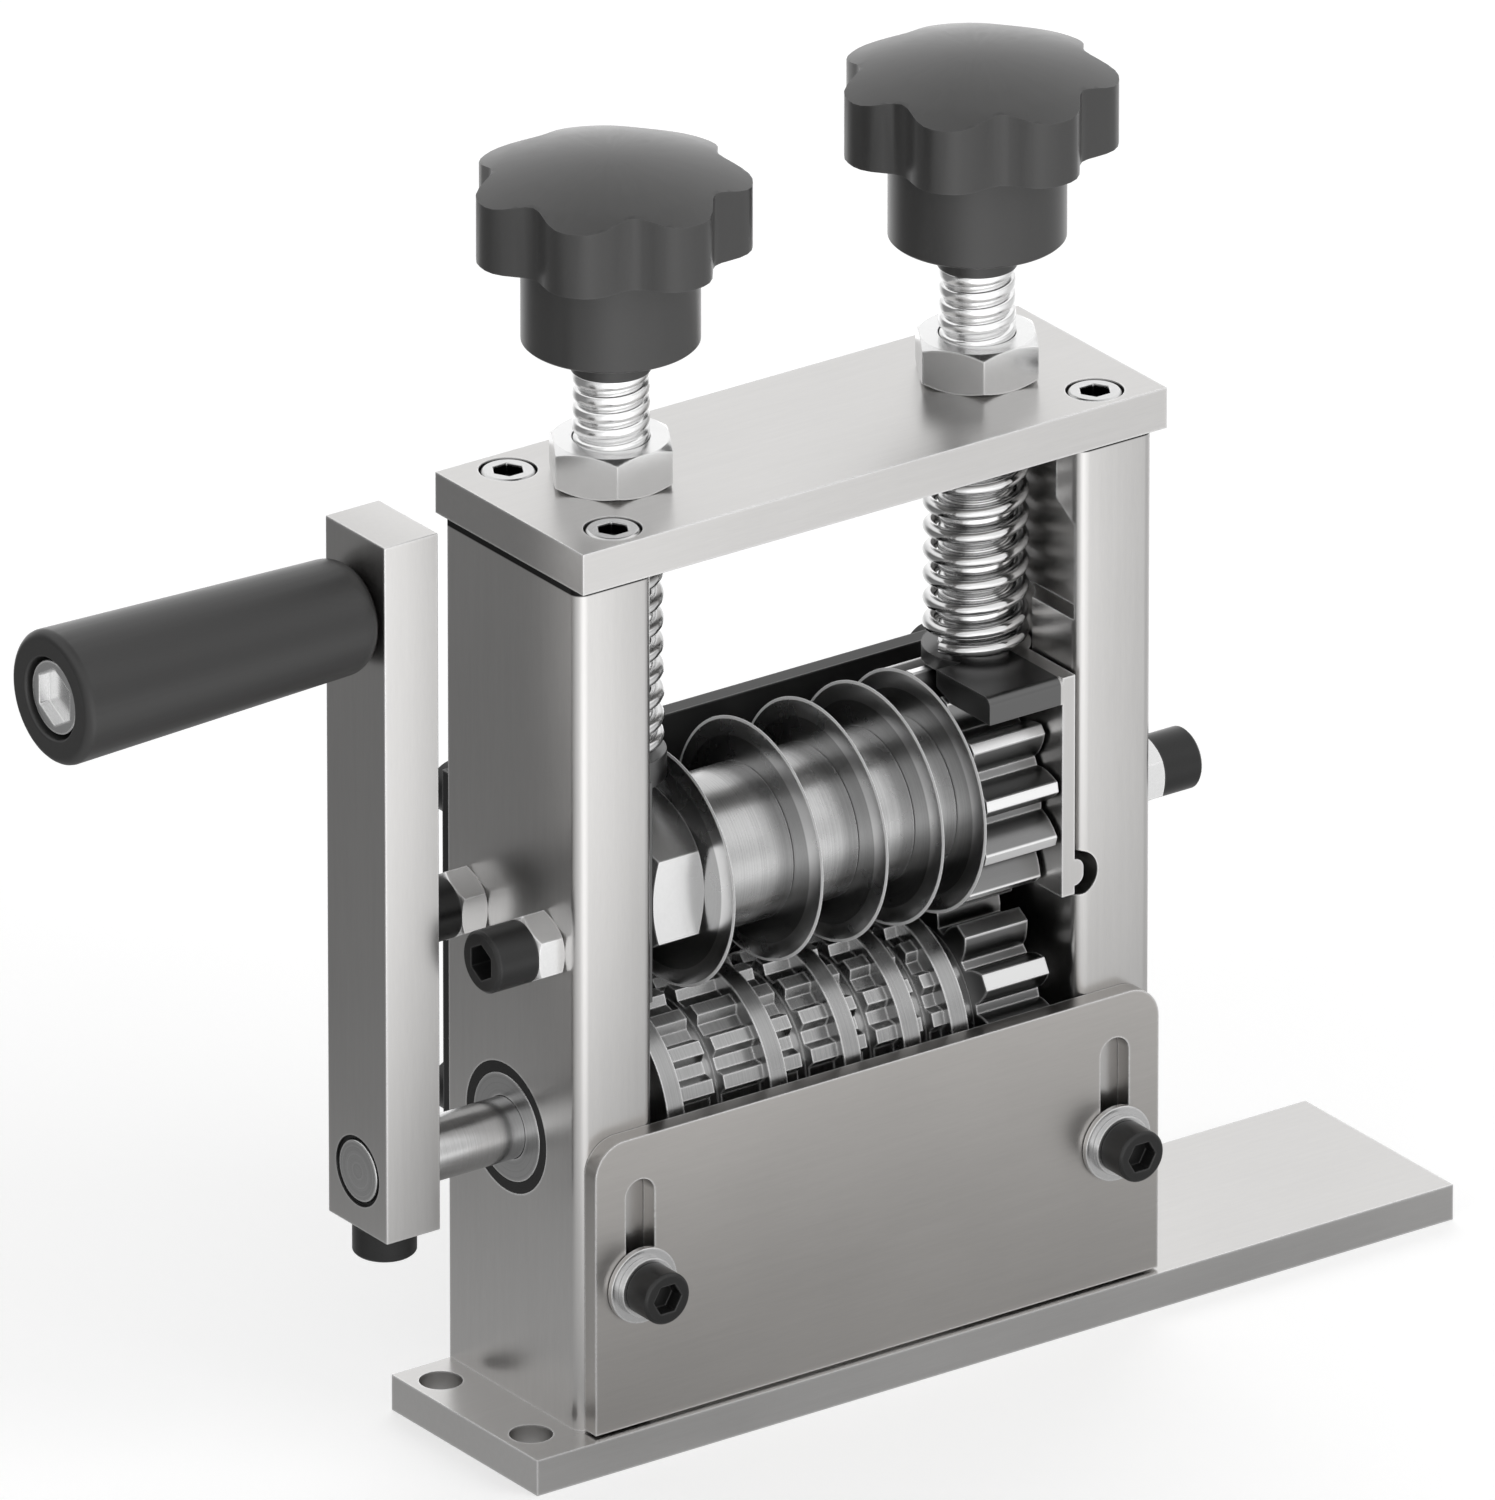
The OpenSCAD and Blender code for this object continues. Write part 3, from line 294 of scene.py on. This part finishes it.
# Every finish starts from ground steel, and says what differs. The grain is a scale along X, Y and Z
steel = {
    "metallic": 1.0, "colour": grey(0.55, 0.014), "roughness": 0.30, "grain": (900, 900, 9000),
    "fine": 0.10, "streak": 0.08, "cloud": 0.14, "edgeWidth": 0.6 * mm, "edgeGain": 6.0,
    "edgeColour": grey(0.92), "edgeDull": 0.55, "edgeRough": -0.06, "bump": 0.12, "bumpDepth": 0.02 * mm,
}
upright = {**steel, "grain": (9000, 9000, 400)}
lengthways = {**steel, "grain": (400, 9000, 9000)}
gear = {**steel, "grain": (500, 9000, 9000), "roughness": 0.3}
onShaft = {**steel, "grain": (3000, 3000, 3000), "centre": shaftCentre}
onSpindle = {**steel, "grain": (2000, 2000, 2000), "centre": spindleCentre}
small = {**steel, "grain": (2500, 2500, 2500)}
plastic = {
    **steel, "metallic": 0.0, "grain": (2200, 2200, 2200), "fine": 0.10, "streak": 0.06, "cloud": 0.12,
    "edgeGain": 1.2, "edgeRough": -0.05, "bump": 0.12, "bumpDepth": 0.03 * mm,
}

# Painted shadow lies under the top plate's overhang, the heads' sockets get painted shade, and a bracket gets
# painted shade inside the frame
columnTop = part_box("left_side_plate")[1].z
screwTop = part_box("top_screws")[1].z
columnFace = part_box("right_side_plate")[0].x
paintedShadowUnderTop = {"along": 2, "from": columnTop - 1.6 * mm, "to": columnTop - 1.35 * mm, "colour": grey(0.02)}
paintedSocketShade = {"along": 2, "from": screwTop - 0.3 * mm, "to": screwTop - 0.55 * mm, "colour": grey(0.02)}
paintedShadeInside = {"along": 0, "from": columnFace - 3.2 * mm, "to": columnFace - 3.4 * mm, "colour": grey(0.13)}
column = {**steel, "grain": (9000, 9000, 500), "zones": (paintedShadowUnderTop,)}

looks = {
    "left_column_steel": {**column, "crown": crownOf("left_side_plate", 0.17)},
    "right_column_steel": {**column, "crown": crownOf("right_side_plate", 0.17)},
    "plate_steel": lengthways,
    "cover_steel": {**lengthways, "colour": grey(0.47, 0.035), "roughness": 0.34},
    # The arm's dark ring round the shaft's end is painted shade in the groove there
    "arm_steel": {**upright, "crown": crownOf("crank_arm", 0.12),
                  "bands": (around(shaftCentre, 4.9 * mm, 5.0 * mm, grey(0.02), until=5.75 * mm),)},
    "guide_steel": {**lengthways, "metallic": 0.7, "colour": grey(0.035), "roughness": 0.42,
                    "edgeColour": grey(0.22), "edgeGain": 3.0},
    # The brackets get painted shade where they lie inside the frame
    "bracket_steel": {**upright, "zones": (paintedShadeInside,)},
    # The gears' bright bands on their tooth tips are painted highlights
    "gear_steel": {**gear, "colour": grey(0.22),
                   "bands": (around(spindleCentre, 19.0 * mm, 19.3 * mm, grey(0.85)),)},
    "drive_gear_steel": {**gear, "colour": grey(0.18),
                         "bands": (around(shaftCentre, 18.35 * mm, 18.65 * mm, grey(0.7)),)},
    "roller_steel": {**onShaft, "colour": grey(0.34), "roughness": 0.28, "marks": 4000, "markTone": 0.5},
    "shaft_steel": {**onShaft, "colour": grey(0.5), "roughness": 0.24, "marks": 5000, "markTone": 0.4},
    "bush_steel": {**onShaft, "colour": grey(0.42), "roughness": 0.3, "marks": 4000, "markTone": 0.3},
    "spacer_steel": {**onSpindle, "colour": grey(0.5), "roughness": 0.27, "marks": 4500, "markTone": 0.4,
                     "bump": 0.15},
    # The blades' bright rings on their bevel and rim are painted highlights
    "blade_steel": {**onSpindle, "colour": grey(0.34), "roughness": 0.28, "marks": 5000, "markTone": 0.3,
                    "edgeGain": 2.0,
                    "bands": (around(spindleCentre, 16.4 * mm, 16.6 * mm, grey(0.62)),
                              around(spindleCentre, 18.95 * mm, 19.05 * mm, grey(0.95), dull=0.95))},
    # The top screws' sockets are darkened with painted shade
    "screw_steel": {**small, "colour": grey(0.6), "roughness": 0.24, "zones": (paintedSocketShade,)},
    "nut_zinc": {**small, "colour": grey(0.74), "roughness": 0.24, "edgeColour": grey(0.97), "edgeGain": 12.0},
    "washer_zinc": {**small, "colour": grey(0.62), "roughness": 0.24, "edgeColour": grey(0.9)},
    "rod_zinc": {**small, "colour": grey(0.85), "roughness": 0.22, "edgeColour": grey(0.95)},
    "thread_root": {**small, "colour": grey(0.04), "roughness": 0.45, "edgeColour": grey(0.1), "edgeGain": 1.0},
    "spring_steel": {**steel, "colour": grey(0.64), "grain": (3000, 3000, 3000), "roughness": 0.14,
                     "edgeGain": 0.0},
    "clip_steel": {**small, "colour": grey(0.25), "roughness": 0.35},
    "black_oxide": {**small, "metallic": 0.4, "colour": grey(0.022), "roughness": 0.36,
                    "edgeColour": grey(0.12), "edgeGain": 2.0, "fine": 0.25},
    "black_plastic": {**plastic, "specular": 0.5, "colour": grey(0.05, 0.01), "roughness": 0.32,
                      "edgeColour": grey(0.10)},
    "grip_plastic": {**plastic, "specular": 0.45, "colour": grey(0.036, 0.01), "roughness": 0.36,
                     "edgeColour": grey(0.07)},
    "seal_rubber": {**steel, "metallic": 0.0, "colour": grey(0.012), "grain": (3000, 3000, 3000),
                    "roughness": 0.6, "edgeColour": grey(0.04), "edgeGain": 1.0, "fine": 0.3},
}
finishes = {name: makeFinish(name, look) for name, look in looks.items()}
print("finishes made:", len(finishes))


# Pieces

meshing = {
    "weldDistance": 0.002 * mm, "flatAngle": math.radians(0.5), "sharpAngle": math.radians(28),
    "smoothAngle": math.radians(50), "cornerSegments": 2,
}


def copyNode(node):
    # A copy of the frame's mesh, with its loose triangles welded and its flat faces made whole
    bm = bmesh.new()
    bm.from_mesh(frame["nodes"][node].data)
    bmesh.ops.remove_doubles(bm, verts=bm.verts, dist=meshing["weldDistance"])
    bmesh.ops.dissolve_limit(
        bm, angle_limit=meshing["flatAngle"], use_dissolve_boundaries=False, verts=bm.verts, edges=bm.edges)
    return bm


def roundCorners(bm, width):
    sharp = [e for e in bm.edges if len(e.link_faces) == 2 and e.calc_face_angle(0.0) > meshing["sharpAngle"]]
    bmesh.ops.bevel(
        bm, geom=sharp, offset=width, offset_type="OFFSET", segments=meshing["cornerSegments"], profile=0.5,
        affect="EDGES", clamp_overlap=True, material=-1)


def pieceName(node):
    first, *others = node.split("_")
    return first + "".join(word.capitalize() for word in others)


def addPiece(node, bm, finish, rides=True):
    # The piece that stands for a node takes its body and its material slot
    name = pieceName(node)
    mesh = bpy.data.meshes.new(name)
    bm.to_mesh(mesh)
    bm.free()
    if "custom_normal" in mesh.attributes:
        mesh.attributes.remove(mesh.attributes["custom_normal"])
    mesh.materials.clear()
    mesh.materials.append(finishes[finish])
    mesh.shade_smooth()
    mesh.set_sharp_from_angle(angle=meshing["smoothAngle"])
    piece = bpy.data.objects.new(name, mesh)
    scene.collection.objects.link(piece)
    weighted = piece.modifiers.new("evenNormals", "WEIGHTED_NORMAL")
    weighted.keep_sharp = True
    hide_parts(node)
    if rides:
        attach(piece, bodyOf[node])
    return piece


# Machined pieces keep the frame's shape and get rounded corners: corner width in mm, and their finish
machined = {
    "base_plate": (0.4, "plate_steel"), "left_side_plate": (0.3, "left_column_steel"),
    "right_side_plate": (0.3, "right_column_steel"), "top_plate": (0.45, "plate_steel"),
    "front_cover": (0.4, "cover_steel"), "guide_plate": (0.25, "guide_steel"),
    "crank_arm": (0.9, "arm_steel"), "left_bracket": (0.2, "bracket_steel"),
    "right_bracket": (0.2, "bracket_steel"), "top_screws": (0.15, "screw_steel"),
    "lock_washers": (0.1, "washer_zinc"),
    "base_screws": (0.15, "black_oxide"), "gib_screws": (0.15, "black_oxide"),
    "guide_screws": (0.15, "black_oxide"), "cover_screws": (0.15, "black_oxide"),
    "crank_screw": (0.15, "black_oxide"), "collar_screw": (0.08, "black_oxide"),
    "shaft_collar": (0.2, "black_oxide"), "rod_nuts": (0.7, "nut_zinc"), "gib_nuts": (0.35, "nut_zinc"),
    "spindle_nut": (0.7, "nut_zinc"), "grip_bolt": (0.15, "nut_zinc"), "guide_spacers": (0.15, "nut_zinc"),
    "cover_washers": (0.12, "washer_zinc"), "shaft_bushes": (0.12, "bush_steel"),
    "seal_rings": (0.15, "seal_rubber"), "drive_shaft": (0.25, "shaft_steel"),
    "blade_spindle": (0.2, "shaft_steel"), "feed_roller": (0.12, "roller_steel"),
    "drive_gear": (0.15, "drive_gear_steel"), "spindle_gear": (0.15, "gear_steel"),
    "blades": (0.12, "blade_steel"), "spacers": (0.15, "spacer_steel"), "left_clip": (0.1, "clip_steel"),
    "right_clip": (0.1, "clip_steel"), "crank_grip": (0.5, "grip_plastic"),
    "left_knob": (0.4, "black_plastic"), "right_knob": (0.4, "black_plastic"),
}
for node, (width, finish) in machined.items():
    bm = copyNode(node)
    roundCorners(bm, width * mm)
    addPiece(node, bm, finish)
print("machined pieces made:", len(machined))


def uprightBox(node):
    # The centre line of an upright round piece, and the corners of its box
    low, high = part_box(node)
    return Vector(((low.x + high.x) / 2, (low.y + high.y) / 2, 0)), low, high


springShape = {
    "wire": 2.2 * mm, "closedTurns": 1, "closedPitch": 2.7 * mm, "openTurns": 7.5, "start": 190,
    "steps": 40, "sides": 14,
}


def makeSpring(node):
    # A round wire is swept up in three stretches: a closed coil at each end and the open ones between them
    centre, low, high = uprightBox(node)
    wire, steps = springShape["wire"] / 2, springShape["steps"]
    mean = (high.y - low.y) / 2 - wire
    closed = (springShape["closedTurns"], springShape["closedPitch"] * springShape["closedTurns"])
    openRise = high.z - low.z - 2 * wire - 2 * closed[1]
    turn = Matrix.Rotation(math.radians(springShape["start"]), 4, "Z")
    stood = Matrix.Translation((mean, 0, 0)) @ Matrix.Rotation(math.radians(90), 4, "X")
    bm = bmesh.new()
    bmesh.ops.create_circle(
        bm, radius=wire, segments=springShape["sides"],
        matrix=Matrix.Translation(centre + Vector((0, 0, low.z + wire))) @ turn @ stood)
    last = bm.verts[:] + bm.edges[:]
    first = bm.edges[:]
    for turns, rise in (closed, (springShape["openTurns"], openRise), closed):
        count = round(steps * turns)
        swept = bmesh.ops.spin(
            bm, geom=last, cent=centre, axis=(0, 0, 1), dvec=(0, 0, rise / count),
            angle=math.radians(360 * turns), steps=count, use_merge=False, use_duplicate=False)
        last = swept["geom_last"]
    ends = first + [e for e in last if isinstance(e, bmesh.types.BMEdge)]
    bmesh.ops.holes_fill(bm, edges=ends, sides=springShape["sides"])
    bmesh.ops.recalc_face_normals(bm, faces=bm.faces)
    piece = addPiece(node, bm, "spring_steel", rides=False)
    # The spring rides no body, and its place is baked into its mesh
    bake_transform(piece)


for node in ("left_spring", "right_spring"):
    makeSpring(node)
print("springs made")

# The outline gives shares of a pitch, each with a depth under the crest
threadShape = {
    "pitch": 2.7 * mm, "startBelowSpring": 0.2 * mm, "steps": 56, "darkDepth": 0.3 * mm, "brightEnd": 0.1 * mm,
    "outline": ((0.0, 0.9 * mm), (0.13, 0.9 * mm), (0.23, 0.28 * mm), (0.34, 0.06 * mm), (0.55, 0.0),
                (0.78, 0.06 * mm), (0.90, 0.28 * mm)),
}


def makeRod(node):
    # The outline is spun into a thread that rises a pitch each turn. It starts a pitch low and ends high, so
    # that two planes cut it to length, and the frame's own neck goes under it
    centre, low, high = uprightBox(node)
    crest = (high.x - low.x) / 2
    pitch = threadShape["pitch"]
    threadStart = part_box(node.replace("rod", "spring"))[0].z - threadShape["startBelowSpring"]
    turns = math.ceil((high.z - threadStart) / pitch) + 2
    bm = bmesh.new()
    line = [bm.verts.new(centre + Vector((crest - depth, 0, threadStart + (k - 1 + share) * pitch)))
            for k in range(turns) for share, depth in threadShape["outline"]]
    edges = [bm.edges.new(pair) for pair in zip(line, line[1:])]
    bmesh.ops.spin(
        bm, geom=line + edges, cent=centre, axis=(0, 0, 1), dvec=(0, 0, pitch / threadShape["steps"]),
        angle=math.radians(360), steps=threadShape["steps"], use_merge=False, use_duplicate=False)
    bmesh.ops.remove_doubles(bm, verts=bm.verts, dist=meshing["weldDistance"])
    for height, above in ((threadStart, False), (high.z, True)):
        cut = bmesh.ops.bisect_plane(
            bm, geom=bm.verts[:] + bm.edges[:] + bm.faces[:], plane_co=(0, 0, height), plane_no=(0, 0, 1),
            clear_outer=above, clear_inner=not above)
        rim = [e for e in cut["geom_cut"] if isinstance(e, bmesh.types.BMEdge)]
        bmesh.ops.edgeloop_fill(bm, edges=rim)
    neck = copyNode(node)
    bmesh.ops.bisect_plane(
        neck, geom=neck.verts[:] + neck.edges[:] + neck.faces[:], plane_co=(0, 0, threadStart),
        plane_no=(0, 0, 1), clear_outer=True)
    neckMesh = bpy.data.meshes.new("neck")
    neck.to_mesh(neckMesh)
    neck.free()
    bm.from_mesh(neckMesh)
    bpy.data.meshes.remove(neckMesh)
    bmesh.ops.recalc_face_normals(bm, faces=bm.faces)
    for face in bm.faces:
        out = face.calc_center_median() - centre
        inGroove = math.hypot(out.x, out.y) < crest - threadShape["darkDepth"]
        face.material_index = int(inGroove and threadStart < out.z < high.z - threadShape["brightEnd"])
    piece = addPiece(node, bm, "rod_zinc")
    piece.data.materials.append(finishes["thread_root"])


for node in ("left_rod", "right_rod"):
    makeRod(node)
print("rods made")


# Studio

# What metal sees round it: shares of a turn from +X towards +Y with a brightness, then the same by height
roomRound = ((0.0, 0.75), (0.08, 1.2), (0.15, 1.75), (0.24, 1.1), (0.33, 0.24), (0.42, 0.24), (0.54, 0.95),
             (0.66, 1.95), (0.79, 1.5), (0.86, 1.1), (0.95, 0.75))
roomHigh = ((0.0, 1.0), (0.45, 1.5), (0.8, 1.4), (0.93, 1.1), (1.0, 0.8))
brightest = 2.0  # a colour ramp's levels end at one, so it holds shares of this


def stepsOf(tree, value, stops, place):
    ramp = addNode(tree, "ShaderNodeValToRGB", place, {0: value})
    ramp.color_ramp.interpolation = "EASE"
    elements = ramp.color_ramp.elements
    while len(elements) < len(stops):
        elements.new(0.5)
    positions, levels = zip(*stops)
    for element, position in zip(elements, positions):
        element.position = position
    for element, level in zip(elements, levels):
        element.color = grey(level / brightest)
    return calculate(tree, "MULTIPLY", ramp.outputs[0], brightest, (place[0] + 250, place[1]))


def roomLevel(tree, toward, place):
    # The brightness of the room in the direction of a vector, by its turn about Z alone
    x, y = splitVector(tree, toward, place)[:2]
    angle = calculate(tree, "ARCTAN2", y, x, (place[0] + 150, place[1]))
    share = calculate(tree, "MULTIPLY_ADD", angle, 0.5 / math.pi, (place[0] + 300, place[1]), 1.0)
    share = calculate(tree, "FRACT", share, None, (place[0] + 450, place[1]))
    return stepsOf(tree, share, roomRound, (place[0] + 600, place[1]))


def levelBetween(tree, start, end, share, place):
    change = calculate(tree, "SUBTRACT", end, start, (place[0] - 200, place[1]))
    return calculate(tree, "MULTIPLY_ADD", change, share, place, start)


def mixShaders(tree, factor, first, second, place):
    return addNode(tree, "ShaderNodeMixShader", place, {0: factor, 1: first, 2: second}).outputs[0]


floorShape = {
    "size": 12.0, "colour": grey(0.8), "roughness": 0.9, "glow": 0.42,
    "near": 0.05, "nearLevel": 0.48, "far": 0.26,
}


def makeFloor():
    # Metal sees the floor as a glow of its own: dim near the object as a painted shadow, and as bright as the room
    # further out. The glow is for the camera
    bm = bmesh.new()
    bmesh.ops.create_grid(bm, x_segments=1, y_segments=1, size=floorShape["size"] / 2)
    mesh = bpy.data.meshes.new("floor")
    bm.to_mesh(mesh)
    bm.free()
    floor = bpy.data.objects.new("floor", mesh)
    scene.collection.objects.link(floor)
    paint = bpy.data.materials.new("floorPaint")
    paint.use_nodes = True
    tree = paint.node_tree
    shader = tree.nodes["Principled BSDF"]
    shader.inputs["Base Color"].default_value = floorShape["colour"]
    shader.inputs["Roughness"].default_value = floorShape["roughness"]
    shader.inputs["Emission Color"].default_value = (1, 1, 1, 1)
    rays = addNode(tree, "ShaderNodeLightPath", (-600, -200)).outputs
    seen = calculate(tree, "MULTIPLY", rays["Is Camera Ray"], floorShape["glow"], (-400, -200))
    feed(tree, shader.inputs["Emission Strength"], seen)
    spot = addNode(tree, "ShaderNodeTexCoord", (-1600, -500)).outputs["Object"]
    reach = addNode(tree, "ShaderNodeVectorMath", (-1400, -800), {0: spot}, operation="LENGTH")
    away = smoothRise(tree, reach.outputs["Value"], floorShape["near"], floorShape["far"], (-1200, -800))
    farLevel = roomLevel(tree, spot, (-1400, -500))
    level = levelBetween(tree, floorShape["nearLevel"], farLevel, away, (-200, -600))
    mirrored = addNode(tree, "ShaderNodeEmission", (0, -500), {"Strength": level}).outputs[0]
    surface = mixShaders(tree, rays["Is Glossy Ray"], shader.outputs[0], mirrored, (400, 0))
    feed(tree, tree.nodes["Material Output"].inputs["Surface"], surface)
    mesh.materials.append(paint)


# The lamps aim at one point, and the room's walls turn into its ceiling between two heights
studio = {"fill": 0.6, "wallTop": 0.18, "ceiling": 0.5, "aim": (0.01, 0, 0.1)}


def makeRoom():
    # The camera sees white, metal sees the room, and everything else gets a plain fill
    world = bpy.data.worlds.new("studio")
    scene.world = world
    world.use_nodes = True
    tree = world.node_tree
    tree.nodes.clear()
    rays = addNode(tree, "ShaderNodeLightPath", (0, 400)).outputs
    direction = addNode(tree, "ShaderNodeTexCoord", (-1600, 0)).outputs["Generated"]
    byTurn = roomLevel(tree, direction, (-1400, 0))
    height = splitVector(tree, direction, (-1400, -250))[2]
    overhead = stepsOf(tree, height, roomHigh, (-900, -250))
    above = smoothRise(tree, height, studio["wallTop"], studio["ceiling"], (-900, -500))
    level = levelBetween(tree, byTurn, overhead, above, (-150, 0))
    room = addNode(tree, "ShaderNodeBackground", (100, 0), {"Strength": level}).outputs[0]
    fill = addNode(tree, "ShaderNodeBackground", (100, -150), {"Strength": studio["fill"]}).outputs[0]
    white = addNode(tree, "ShaderNodeBackground", (100, 150)).outputs[0]
    glossyOrPlain = mixShaders(tree, rays["Is Glossy Ray"], fill, room, (350, -50))
    cameraOrRest = mixShaders(tree, rays["Is Camera Ray"], glossyOrPlain, white, (650, 0))
    addNode(tree, "ShaderNodeOutputWorld", (900, 0), {"Surface": cameraOrRest})


# Softboxes: where each stands, its width and height in metres, and how bright its face is
softboxes = {
    "keySoftbox": ((0.75, -1.15, 0.9), (0.9, 0.9), 2.2),
    "topSoftbox": ((0.6, 0.9, 1.1), (1.0, 0.8), 1.8),
    "leftStrip": ((-1.3, -0.5, 0.7), (0.35, 1.3), 1.6),
}


def addSoftbox(name, place, size, brightness):
    # It lights the object, but metal doesn't mirror it: what metal sees is the room
    lamp = bpy.data.lights.new(name, "AREA")
    lamp.shape = "RECTANGLE"
    lamp.size, lamp.size_y = size
    lamp.energy = brightness * math.pi * size[0] * size[1]
    holder = bpy.data.objects.new(name, lamp)
    holder.visible_glossy = False
    scene.collection.objects.link(holder)
    holder.location = place
    holder.rotation_euler = (Vector(studio["aim"]) - Vector(place)).to_track_quat("-Z", "Y").to_euler()


makeFloor()
makeRoom()
for name, values in softboxes.items():
    addSoftbox(name, *values)
print("studio made")

# The photograph's viewing angle: the camera looks at a point from far off and is slid sideways a little
viewpoint = {
    "turn": -35.617, "rise": 23.995, "distance": 6.1538, "lens": 959.6, "sensor": 36.0, "clipEnd": 100.0,
    "aim": (20.0 * mm, -4.05 * mm, 100.0 * mm), "slide": (-25.81 * mm, -3.535 * mm),
}


def placeCamera():
    turn, rise = math.radians(viewpoint["turn"]), math.radians(viewpoint["rise"])
    back = Vector((math.sin(turn) * math.cos(rise), -math.cos(turn) * math.cos(rise), math.sin(rise)))
    right = Vector((math.cos(turn), math.sin(turn), 0))
    up = back.cross(right)
    data = bpy.data.cameras.new("photoCamera")
    data.lens = viewpoint["lens"]
    data.sensor_width = viewpoint["sensor"]
    data.clip_end = viewpoint["clipEnd"]
    camera = bpy.data.objects.new("photoCamera", data)
    scene.collection.objects.link(camera)
    slide = viewpoint["slide"]
    stand = Vector(viewpoint["aim"]) + slide[0] * right + slide[1] * up + viewpoint["distance"] * back
    camera.matrix_world = Matrix.Translation(stand) @ Matrix((right, up, back)).transposed().to_4x4()
    scene.camera = camera


placeCamera()
scene.view_settings.view_transform = "Standard"
print("camera placed")
